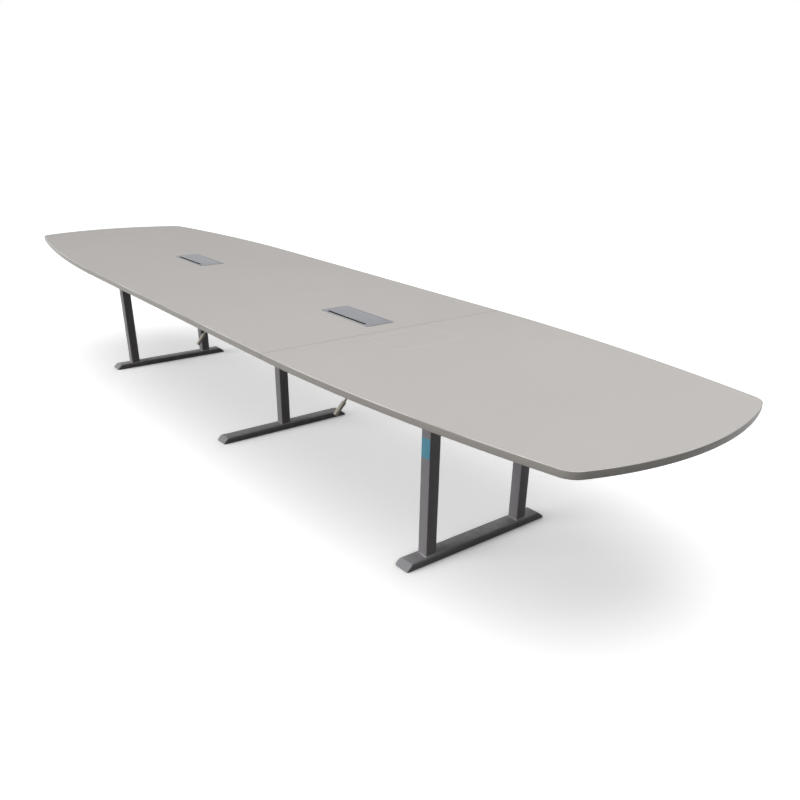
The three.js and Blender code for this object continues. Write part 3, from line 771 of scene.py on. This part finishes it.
def turned_rings(profile: np.ndarray, centre: tuple[float, float], sides: int = 24) -> np.ndarray:
    """Rings of a turned shape: each point of the profile, a radius and a height, goes round an upright axis.

    Args:
        profile: radius and height of each ring.
        centre: where the axis stands.
        sides: points in a ring.

    Returns:
        An array of rings.
    """
    angle = np.linspace(0, 2 * math.pi, sides, endpoint=False)
    radius, height = profile[:, :1], profile[:, 1:]
    x = centre[0] + radius * np.cos(angle)
    y = centre[1] + radius * np.sin(angle)
    return np.stack([x, y, np.broadcast_to(height, x.shape)], axis=-1)


# The table's parts


@dataclass
class Top:
    """The two boards, the edging round them and the screws in the plates under their joint."""

    length: float = 4.776
    width: float = 1.216
    height: float = 0.740
    thickness: float = 0.025
    taper_start: float = 0.924
    end_width: float = 0.900
    end_bow: float = 0.092
    corner_radius: float = 0.070
    joint_gap: float = 0.001
    joint_groove: float = 0.0012
    edging_depth: float = 0.0023
    edging_arris: float = 0.002
    board_arris: float = 0.0008
    plate_pitch: float = 0.820
    plate_thickness: float = 0.004
    screw_offset: tuple[float, float] = (0.052, 0.018)

    def end_path(self, inset: float) -> np.ndarray:
        """Outline of one end, inset by a distance.

        The sides are arcs tangent to the straight sides, the end is a flatter bow, and a round corner
        touches both from inside; all keep their centres and lose the inset from their radii.

        Args:
            inset: distance inside the top's outline.

        Returns:
            Points from the taper start at -Y round to the one at +Y.
        """
        half, run = self.width / 2, self.length / 2 - self.taper_start
        drop = half - self.end_width / 2
        side_radius = (run**2 + drop**2) / (2 * drop)
        bow_radius = ((self.end_width / 2) ** 2 + self.end_bow**2) / (2 * self.end_bow)
        side = np.array([self.taper_start, half - side_radius])
        bow = np.array([self.length / 2 - bow_radius, 0.0])
        corner = self._inner_touch(side, side_radius, bow, bow_radius)
        side_angle = math.atan2(*(corner - side)[::-1])
        bow_angle = math.atan2(*(corner - bow)[::-1])
        upper = np.vstack(
            [
                arc(bow, bow_radius - inset, 0, bow_angle, 24),
                arc(corner, self.corner_radius - inset, bow_angle, side_angle, 16)[1:],
                arc(side, side_radius - inset, side_angle, math.pi / 2, 40)[1:],
            ]
        )
        return np.vstack([upper[:0:-1] * (1, -1), upper])

    def _inner_touch(self, side: np.ndarray, side_radius: float, bow: np.ndarray, bow_radius: float) -> np.ndarray:
        """Centre of the corner's circle, which touches the side's and the bow's circles from inside.

        Args:
            side: centre of the side's arc.
            side_radius: its radius.
            bow: centre of the end's bow.
            bow_radius: its radius.

        Returns:
            The corner's centre.
        """
        from_side, from_bow = side_radius - self.corner_radius, bow_radius - self.corner_radius
        apart = np.linalg.norm(bow - side)
        unit = (bow - side) / apart
        along = (from_side**2 - from_bow**2 + apart**2) / (2 * apart)
        aside = math.sqrt(from_side**2 - along**2)
        return side + along * unit + aside * np.array([unit[1], -unit[0]])

    def board_path(self, end: int, inset: float) -> np.ndarray:
        """Outline of one board from its joint edge round and back to it.

        Args:
            end: 1 for the end board and -1 for the main board.
            inset: distance inside the top's outline.

        Returns:
            The outline's points, open at the joint.
        """
        joint = self.taper_start + end * self.joint_gap / 2
        path = self.end_path(inset) * end
        path = path[end * (path[:, 0] - joint) > 0]
        half = self.width / 2 - inset
        return np.vstack([[joint, -end * half], path, [joint, end * half]])

    def edging(self, workshop: Workshop, end: int) -> bpy.types.Mesh:
        """Edging strip: a flat section with round outer arrises, carried along the board's outline.

        Its two ends are drawn in a little, so that the joint shows as a shallow groove.

        Args:
            workshop: makes the mesh.
            end: 1 for the end board and -1 for the main board.

        Returns:
            The strip's mesh.
        """
        low, high, radius = self.height - self.thickness, self.height, self.edging_arris
        quarter = math.pi / 2
        lower = arc((radius, low + radius), radius, 3 * quarter, 2 * quarter, 4)
        upper = arc((radius, high - radius), radius, 2 * quarter, quarter, 4)
        section = np.vstack([[self.edging_depth, low], lower, upper, [self.edging_depth, high]])
        paths = np.stack([self.board_path(end, inset) for inset in section[:, 0]], axis=1)
        heights = np.broadcast_to(section[:, 1], paths.shape[:2])
        rings = np.dstack([paths, heights])
        shoulders = rings[[0, -1]] + (end * self.joint_groove, 0.0, 0.0)
        mouths = rings[[0, -1]]
        mouths[..., 1] -= np.sign(mouths[..., 1]) * self.joint_groove * (1 - section[:, 0] / self.edging_depth)
        middle = (low + high) / 2
        mouths[..., 2] = middle + (mouths[..., 2] - middle) * (1 - 2 * self.joint_groove / self.thickness)
        rings = np.concatenate([mouths[:1], shoulders[:1], rings[1:-1], shoulders[1:], mouths[1:]])
        return workshop.surface("edging", rings)

    def plate_screws(self, workshop: Workshop) -> bpy.types.Mesh:
        """Screw heads under the joint's plates, four to a plate.

        Args:
            workshop: makes the mesh.

        Returns:
            The mesh of all heads.
        """
        face = self.height - self.thickness - self.plate_thickness
        dx, dy = self.screw_offset
        places = [
            (self.taper_start + sx * dx, side * self.plate_pitch / 2 + sy * dy)
            for side in (-1, 1)
            for sx in (-1, 1)
            for sy in (-1, 1)
        ]
        return workshop.heads("seam_plate_screws", places, face, 0.0045)

    def build(self, workshop: Workshop) -> None:
        """Makes the boards, the edging, the plates and their screws."""
        for end, name in ((-1, "main"), (1, "end")):
            workshop.finished_node(f"{name}_top_board", self.board_arris)
            strip = self.edging(workshop, end)
            workshop.piece(f"{name}_edge_strip", strip, Slot.EDGING, stands_for=(f"{name}_top_edging",))
        for side in ("left", "right"):
            workshop.finished_node(f"seam_plate_{side}", 0.0006)
        workshop.piece("seam_plate_screws", self.plate_screws(workshop), Slot.ZINC)


@dataclass
class TFrame:
    """One frame: foot with end caps and glides, posts with a weld bead round their feet, beam and screws."""

    name: str
    x: float
    posts: dict[str, float]
    foot_height: float = 0.028
    post_half: float = 0.025
    post_radius: float = 0.003
    bead_size: float = 0.0028
    foot_arris: float = 0.0012
    foot_half: float = 0.372
    foot_width: float = 0.076
    foot_radius: float = 0.010
    end_run: float = 0.026
    nose_height: float = 0.006
    cap_thickness: float = 0.008
    cap_corner: float = 0.005
    cap_softness: float = 0.002
    cap_rim: float = 0.002
    beam_half: float = 0.450
    beam_size: tuple[float, float] = (0.050, 0.030)
    beam_wall: float = 0.002
    beam_middle: float = 0.700
    post_arris: float = 0.0006

    def bead(self, workshop: Workshop, y: float) -> bpy.types.Mesh:
        """Weld bead: a quarter-round section carried round the post's outline, at the foot's top.

        Args:
            workshop: makes the mesh.
            y: the post's place across the table.

        Returns:
            The bead's mesh.
        """
        size = self.bead_size
        curve = arc((0.0, 0.0), size, 0, math.pi / 2, 4)
        section = np.vstack([curve, [-0.0002, size], [-0.0002, -0.0002], [size, -0.0002]])
        rings = [
            rounded_rectangle(self.post_half + out, self.post_half + out, self.post_radius + out)
            for out in section[:, 0]
        ]
        outline = np.stack(rings, axis=1) + (self.x, y)
        heights = np.broadcast_to(self.foot_height + section[:, 1], outline.shape[:2])
        return workshop.surface("bead", np.dstack([outline, heights]), closed_path=True)

    def cap(self, workshop: Workshop, side: int) -> bpy.types.Mesh:
        """End cap: rings of the foot's section, drawn in step by step, with each point set back from the nose.

        The setback is the slope above the nose or the round of the nose's corners, with a soft change from
        one to the other, plus a quarter-round along the rim that depends on how far in the ring is.

        Args:
            workshop: makes the mesh.
            side: 1 for the right end and -1 for the left one.

        Returns:
            The cap's mesh.
        """
        insets = np.array([0.0, 0.0002, 0.0006, 0.0012, 0.002, 0.004, 0.006, 0.0085, 0.011, 0.013])
        sections = np.stack([self._foot_section(inset) for inset in insets])
        across, height = sections[..., 0], sections[..., 1]
        slope = np.clip(height - self.nose_height, 0, None) * self.end_run / (self.foot_height - self.nose_height)
        beyond = np.clip(np.abs(across) - self.foot_width / 2 + self.cap_corner, 0, None)
        corner = self.cap_corner - np.sqrt(self.cap_corner**2 - beyond**2)
        face = 0.5 * (slope + corner + np.hypot(slope - corner, self.cap_softness))
        short = np.clip(self.cap_rim - insets, 0, None)
        rim = self.cap_rim - np.sqrt(self.cap_rim**2 - short**2)
        setback = np.vstack([slope[:1] + self.cap_thickness, face + rim[:, None]])
        points = np.concatenate([sections[:1], sections])
        y = side * (self.foot_half - setback)
        return workshop.surface("cap", np.stack([self.x + points[..., 0], y, points[..., 1]], axis=-1))

    def _foot_section(self, inset: float) -> np.ndarray:
        """The foot's section, flat below and round at its upper edges, inset all round."""
        half, top = self.foot_width / 2 - inset, self.foot_height - inset
        radius = max(self.foot_radius - inset, 0.0005)
        spread = np.sin(np.linspace(-math.pi / 2, math.pi / 2, 17))
        base = np.stack([spread * half, np.full_like(spread, inset)], axis=-1)
        rise = np.linspace(inset, top - radius, 6)[1:-1]
        flank = np.stack([np.full_like(rise, half), rise], axis=-1)
        right = arc((half - radius, top - radius), radius, 0, math.pi / 2, 8)
        crown = np.stack([spread[-2:0:-1] * (half - radius), np.full(len(spread) - 2, top)], axis=-1)
        return np.vstack([base, flank, right, crown, right[::-1] * (-1, 1), flank[::-1] * (-1, 1)])

    def plugs(self, workshop: Workshop) -> bpy.types.Mesh:
        """Plugs in the beam's ends: a rounded rectangle inside the tube that steps out to a thin flange.

        Args:
            workshop: makes the mesh.

        Returns:
            The mesh of both plugs.
        """
        inner, rim, edge = self.beam_wall + 0.0002, 0.0, 0.0006
        insets = (inner, inner, rim, rim, edge)
        depths = np.array([-0.014, 0.0001, 0.0001, 0.0010, 0.0016])
        half_x, half_z = (size / 2 for size in self.beam_size)
        sections = np.stack([rounded_rectangle(half_x - i, half_z - i, 0.0012) for i in insets])
        y = np.broadcast_to((self.beam_half + depths)[:, None], sections.shape[:2])
        ends = [
            np.stack([self.x + sections[..., 0], side * y, self.beam_middle + sections[..., 1]], axis=-1)
            for side in (-1, 1)
        ]
        return workshop.joined("plugs", [workshop.surface("plug", rings) for rings in ends])

    def build(self, workshop: Workshop) -> None:
        """Makes every piece of the frame."""
        workshop.finished_node(f"{self.name}_foot", self.foot_arris)
        workshop.finished_node(f"{self.name}_beam", 0.0008)
        for post, y in self.posts.items():
            workshop.finished_node(f"{self.name}_{post}", self.post_arris)
            # the bead's lighter finish is a painted highlight round the post's foot
            bead = self.bead(workshop, y)
            workshop.piece(f"{self.name}_{post}_bead", bead, Slot.FRAME_PAINT, finish=BEAD_HIGHLIGHT)
        workshop.piece(f"{self.name}_beam_plugs", self.plugs(workshop), Slot.GLIDE)
        for side, sign in (("left", -1), ("right", 1)):
            node = f"{self.name}_foot_cap_{side}"
            workshop.piece(f"{node}_moulded", self.cap(workshop, sign), Slot.FOOT_CAP, stands_for=(node,))
            workshop.finished_node(f"{self.name}_glide_{side}", 0.0006)
            workshop.finished_node(f"{self.name}_screw_{side}", 0.0004)


@dataclass
class Rails:
    """The four rails under the top, with the bolts that hold their brackets to the beams."""

    bolt_x: tuple[float, ...] = (1.463, -0.011, -0.039, -1.513)
    pitch: float = 0.300
    bracket_face: float = 0.681
    bolt_radius: float = 0.0055

    def build(self, workshop: Workshop) -> None:
        """Makes the rails and their bolts."""
        for bay in ("near", "far"):
            for side in ("left", "right"):
                workshop.finished_node(f"{bay}_rail_{side}", 0.0008)
        places = [(x, side * self.pitch / 2) for x in self.bolt_x for side in (-1, 1)]
        bolts = workshop.heads("rail_bolts", places, self.bracket_face, self.bolt_radius)
        workshop.piece("rail_bolts", bolts, Slot.ZINC)


@dataclass
class Sticker:
    """A blank sticker on a post's front face."""

    x: float = 1.4775
    y: float = -0.270
    z: float = 0.4705
    width: float = 0.047
    height: float = 0.079
    corner: float = 0.002
    thickness: float = 0.0003

    def build(self, workshop: Workshop) -> None:
        """Makes the sticker: its outline at the post and a slightly smaller one in front, joined and capped."""
        insets = np.array([0.0, 0.0, 0.0002])
        depths = np.array([0.0001, -self.thickness * 0.6, -self.thickness])
        outlines = np.stack(
            [rounded_rectangle(self.width / 2 - i, self.height / 2 - i, self.corner) for i in insets]
        )
        y = np.broadcast_to((self.y + depths)[:, None], outlines.shape[:2])
        rings = np.stack([self.x + outlines[..., 0], y, self.z + outlines[..., 1]], axis=-1)
        workshop.piece("post_sticker", workshop.surface("post_sticker", rings), Slot.LEAD, finish=STICKER)


@dataclass
class PowerBox:
    """One power box with its lid, tub, socket strip and hanging supply lead."""

    name: str
    x: float
    route: tuple[tuple[float, float], ...]
    y: float = 0.008
    lead_shift: float = 0.030
    lead_start: float = 0.6247
    lead_radius: float = 0.004
    strip_top: float = 0.692
    strip_middle: float = 0.0392
    sockets: tuple[float, ...] = (-0.086, -0.030, 0.026)
    socket_depth: float = 0.014
    pin_spacing: float = 0.019
    lid_half: float = 0.142
    lid_front: float = -0.0485
    brush_top: float = 0.7418
    brush_length: float = 0.0126
    bristle_pitch: float = 0.0009
    bristle_half: float = 0.0004

    def lead(self, workshop: Workshop) -> bpy.types.Object:
        """Supply lead: a round tube along the smooth line through its route.

        Args:
            workshop: makes the mesh.

        Returns:
            The lead's object.
        """
        across, down = np.array(self.route).T
        x = np.full_like(across, self.x + self.lead_shift)
        line = smooth_route(np.stack([x, self.y + across, self.lead_start + down], axis=-1))
        mesh = workshop.surface(f"{self.name}_supply_lead", tube_rings(line, self.lead_radius))
        lead = workshop.piece(f"{self.name}_supply_lead", mesh, Slot.LEAD, stands_for=(f"{self.name}_lead",))
        connector = workshop.finished_node(f"{self.name}_lead_connector", 0.0008)
        float(np.linalg.norm(np.diff(line, axis=0), axis=1).sum())
        return lead

    def contacts(self, workshop: Workshop) -> bpy.types.Mesh:
        """Contact sleeves in the sockets: two short turned tubes on the floor of each recess.

        Args:
            workshop: makes the mesh.

        Returns:
            The mesh of all sleeves.
        """
        floor = self.strip_top - self.socket_depth
        profile = np.array(
            [[0.0016, floor], [0.0032, floor], [0.0032, floor + 0.0018], [0.0027, floor + 0.0022], [0.0016, floor + 0.0022]]
        )
        places = [
            (self.x + socket + side * self.pin_spacing / 2, self.y + self.strip_middle)
            for socket in self.sockets
            for side in (-1, 1)
        ]
        sleeves = [
            workshop.surface("sleeve", turned_rings(profile, place, 16).swapaxes(0, 1), closed_path=True)
            for place in places
        ]
        return workshop.joined(f"{self.name}_socket_contacts", sleeves)

    def brush(self, workshop: Workshop) -> bpy.types.Mesh:
        """Brush that closes the cable slot: rows of tapered square bristles from the lid's front lip.

        Each bristle's four corners shrink from its root to its tip, and a sine of its number tilts it
        a little aside and down, so that the row looks uneven.

        Args:
            workshop: makes the mesh.

        Returns:
            The mesh of all bristles in three rows and the strip that holds them.
        """
        number = np.arange(int(2 * self.lid_half / self.bristle_pitch) - 1)
        row = np.repeat(np.arange(3), len(number))
        number = np.tile(number, 3)
        x = self.x - self.lid_half + self.bristle_pitch * (number + 1 + 0.33 * (row - 1))
        z = self.brush_top - 0.0011 * row - self.bristle_half
        sway = np.sin(number * 12.9898 + row * 4.1)
        root = np.stack([x, np.full_like(x, self.y + self.lid_front + 0.0002), z], axis=-1)
        reach = self.brush_length * (0.94 + 0.05 * np.sin(number * 78.233 + row))
        tip = root + np.stack([0.0006 * sway, -reach, -0.0005 * np.abs(sway)], axis=-1)
        corner = np.array([[-1, 0, -1], [1, 0, -1], [1, 0, 1], [-1, 0, 1]]) * self.bristle_half
        points = np.stack([root[:, None] + corner, tip[:, None] + 0.35 * corner], axis=1)
        base = np.arange(len(points))[:, None, None] * 8
        sides = np.array([[0, 1, 5, 4], [1, 2, 6, 5], [2, 3, 7, 6], [3, 0, 4, 7], [3, 2, 1, 0], [4, 5, 6, 7]])
        bristles = bpy.data.meshes.new("bristles")
        bristles.from_pydata(points.reshape(-1, 3).tolist(), [], (base + sides).reshape(-1, 4).tolist())
        holder_section = rounded_rectangle(0.001, 0.0019, 0.0005, 3)
        ends = np.array([-1, 1]) * (self.lid_half - 0.001)
        holder = np.stack(
            [
                np.broadcast_to(self.x + ends[:, None], (2, len(holder_section))),
                np.broadcast_to(self.y + self.lid_front - 0.0008 + holder_section[:, 0], (2, len(holder_section))),
                np.broadcast_to(self.brush_top - 0.0016 + holder_section[:, 1], (2, len(holder_section))),
            ],
            axis=-1,
        )
        return workshop.joined(f"{self.name}_slot_brush", [bristles, workshop.surface("holder", holder)])

    def build(self, workshop: Workshop) -> None:
        """Makes the box's pieces; its lead is made on its own."""
        brush = self.brush(workshop)
        lid_body = f"{self.name}_box_lid"
        workshop.piece(f"{self.name}_slot_brush", brush, Slot.SOCKET, lid_body, finish=BRISTLE)
        for part, arris in (("bezel", 0.0007), ("lid", 0.0009), ("tub", 0.0005), ("socket_strip", 0.0008)):
            workshop.finished_node(f"{self.name}_box_{part}", arris)
        workshop.finished_node(f"{self.name}_box_hinge_rod", 0.0003)
        workshop.finished_node(f"{self.name}_lead_gland", 0.0006)
        contacts = self.contacts(workshop)
        workshop.piece(f"{self.name}_socket_contacts", contacts, Slot.SOCKET, finish=CONTACT)


# Camera, light and floor


@dataclass(frozen=True)
class Viewpoint:
    """The photograph's viewing angle: place in metres, angles in radians, lens in pixels of an 800-pixel frame."""

    place: tuple[float, float, float] = (3.38896, -1.89692, 1.55765)
    yaw: float = -0.8836
    pitch: float = 0.4664
    roll: float = 0.0256
    focal: float = 763.83
    middle: tuple[float, float] = (411.99, 492.19)
    frame_size: float = 800.0
    sensor: float = 36.0

    def build(self) -> None:
        """Makes the scene's camera."""
        ahead = Vector(
            (
                math.sin(self.yaw) * math.cos(self.pitch),
                math.cos(self.yaw) * math.cos(self.pitch),
                -math.sin(self.pitch),
            )
        )
        right = Vector((math.cos(self.yaw), -math.sin(self.yaw), 0.0))
        up = right.cross(ahead)
        side = math.cos(self.roll) * right + math.sin(self.roll) * up
        top = -math.sin(self.roll) * right + math.cos(self.roll) * up
        data = bpy.data.cameras.new("viewpoint")
        data.sensor_width = self.sensor
        data.lens = self.sensor * self.focal / self.frame_size
        data.shift_x = 0.5 - self.middle[0] / self.frame_size
        data.shift_y = self.middle[1] / self.frame_size - 0.5
        camera = bpy.data.objects.new("viewpoint", data)
        bpy.context.scene.collection.objects.link(camera)
        turn = Matrix((side, top, -ahead)).transposed()
        camera.matrix_world = Matrix.Translation(self.place) @ turn.to_4x4()
        bpy.context.scene.camera = camera


@dataclass(frozen=True)
class Skylight:
    """A wide, distant light: where it comes from, how wide its disc is and how strong it is."""

    name: str
    source: tuple[float, float, float]
    width: float
    strength: float

    def build(self) -> None:
        """Makes the light."""
        data = bpy.data.lights.new(self.name, "SUN")
        data.angle = math.radians(self.width)
        data.energy = self.strength
        light = bpy.data.objects.new(self.name, data)
        bpy.context.scene.collection.objects.link(light)
        light.matrix_world = (-Vector(self.source)).to_track_quat("-Z", "Y").to_matrix().to_4x4()


@dataclass(frozen=True)
class Softbox:
    """A soft square lamp aimed at a point."""

    name: str
    place: tuple[float, float, float]
    aim: tuple[float, float, float]
    size: float
    power: float

    def build(self) -> None:
        """Makes the lamp."""
        data = bpy.data.lights.new(self.name, "AREA")
        data.shape = "SQUARE"
        data.size = self.size
        data.energy = self.power
        lamp = bpy.data.objects.new(self.name, data)
        bpy.context.scene.collection.objects.link(lamp)
        heading = Vector(self.aim) - Vector(self.place)
        turn = heading.to_track_quat("-Z", "Y").to_matrix().to_4x4()
        lamp.matrix_world = Matrix.Translation(self.place) @ turn


@dataclass
class Studio:
    """Plain pale floor and backdrop with soft light."""

    floor_half: float = 60.0
    ambient: float = 0.13
    backdrop: float = 1.0
    floor_glow: float = 0.44
    contact_reach: float = 0.08
    floor_seen: tuple[float, float, float, float] = (0.9, 0.9, 0.9, 1.0)
    floor_lit: tuple[float, float, float, float] = (0.13, 0.13, 0.13, 1.0)
    lights: tuple[Skylight | Softbox, ...] = (
        Skylight("overhead", (-0.1, -0.2, 1.0), 64.0, 1.5),
        Skylight("window", (-0.3, -1.0, 0.32), 36.0, 1.6),
        Skylight("rear", (-0.3, 1.0, 0.25), 50.0, 0.6),
        Softbox("near_end", (2.8, -0.8, 3.2), (1.8, 0.0, 0.7), 2.0, 22.0),
        Softbox("middle", (0.4, -0.6, 3.2), (0.4, 0.0, 0.7), 2.0, 8.0),
    )

    def _seen_directly(self, graph: Graph) -> bpy.types.NodeSocket:
        """One for rays from the camera, in a mirror or through glass, and zero for light's own rays."""
        path = graph.node("ShaderNodeLightPath").outputs
        either = graph.sum("MAXIMUM", path["Is Camera Ray"], path["Is Glossy Ray"])
        return graph.sum("MAXIMUM", either, path["Is Transmission Ray"])

    def _world(self) -> None:
        """A world that is white where it is seen and gives a low even light."""
        world = bpy.data.worlds.new("studio")
        world.use_nodes = True
        graph = Graph(world.node_tree)
        strength = graph.ranged(self._seen_directly(graph), (0.0, 1.0), (self.ambient, self.backdrop))
        ground = world.node_tree.nodes["Background"]
        ground.inputs["Color"].default_value = (1.0, 1.0, 1.0, 1.0)
        world.node_tree.links.new(strength, ground.inputs["Strength"])
        bpy.context.scene.world = world

    def _floor(self) -> None:
        """A wide flat floor that keeps a soft shadow and is near white to the camera; ambient occlusion dims its glow
        near the feet as a painted contact shadow.
        """
        half = self.floor_half
        corners = np.array([[-half, -half, 0], [half, -half, 0], [half, half, 0], [-half, half, 0]])
        mesh = bpy.data.meshes.new("floor")
        mesh.from_pydata(corners.tolist(), [], [[0, 1, 2, 3]])
        floor = bpy.data.objects.new("floor", mesh)
        bpy.context.scene.collection.objects.link(floor)
        material = bpy.data.materials.new("pale_floor")
        material.use_nodes = True
        graph = Graph(material.node_tree)
        material.node_tree.nodes.remove(material.node_tree.nodes["Principled BSDF"])
        seen = self._seen_directly(graph)
        matt = graph.node("ShaderNodeBsdfDiffuse", {"Color": graph.mixed(seen, self.floor_lit, self.floor_seen)})
        # painted contact shadow: ambient occlusion dims the floor's glow where the table stands close
        contact_shade = graph.node("ShaderNodeAmbientOcclusion", {"Distance": self.contact_reach}, samples=8)
        strength = graph.ranged(contact_shade.outputs["AO"], (0.35, 0.97), (0.0, self.floor_glow))
        glow = graph.node("ShaderNodeEmission", {"Strength": graph.sum("MULTIPLY", seen, strength)})
        both = graph.node("ShaderNodeAddShader", {0: matt.outputs[0], 1: glow.outputs[0]})
        material.node_tree.links.new(both.outputs[0], material.node_tree.nodes["Material Output"].inputs["Surface"])
        mesh.materials.append(material)

    def build(self) -> None:
        """Makes the world, the floor and the lights."""
        self._world()
        self._floor()
        for light in self.lights:
            light.build()
        bpy.context.scene.view_settings.view_transform = "Standard"


NEAR_ROUTE = (
    (0, 0), (0, -0.014), (0, -0.028), (0, -0.042), (-0.0007, -0.0615), (-0.0027, -0.081), (-0.0061, -0.1002),
    (-0.0108, -0.1192), (-0.0169, -0.1378), (-0.0242, -0.1559), (-0.0328, -0.1735), (-0.0425, -0.1904),
    (-0.0535, -0.2066), (-0.0655, -0.222), (-0.0786, -0.2365), (-0.082, -0.240),
)
FAR_ROUTE = (
    (0, 0), (0, -0.021), (0, -0.042), (0, -0.063), (0, -0.084), (0, -0.105), (0, -0.126), (0, -0.147),
    (0, -0.168), (0, -0.189), (0, -0.210), (0, -0.231), (0, -0.248), (-0.0006, -0.259), (-0.0031, -0.271),
    (-0.0076, -0.282), (-0.0126, -0.291), (-0.019, -0.299),
)


def main() -> None:
    """Builds the camera and the leads first, then every part of the table and the studio."""
    logging.basicConfig(level=logging.INFO, format="%(message)s")
    Viewpoint().build()
    workshop = Workshop()
    boxes = (PowerBox("near", 0.657, NEAR_ROUTE), PowerBox("far", -0.934, FAR_ROUTE))
    for box in boxes:
        box.lead(workshop)
    Top().build(workshop)
    pair = {"post_left": -0.245, "post_right": 0.245}
    stations = (("near", 1.477, pair), ("middle", -0.025, {"post": 0.0}), ("far", -1.527, pair))
    for name, x, posts in stations:
        TFrame(name, x, posts).build(workshop)
    Rails().build(workshop)
    for box in boxes:
        box.build(workshop)
    Sticker().build(workshop)
    Studio().build()


if __name__ == "__main__":
    main()
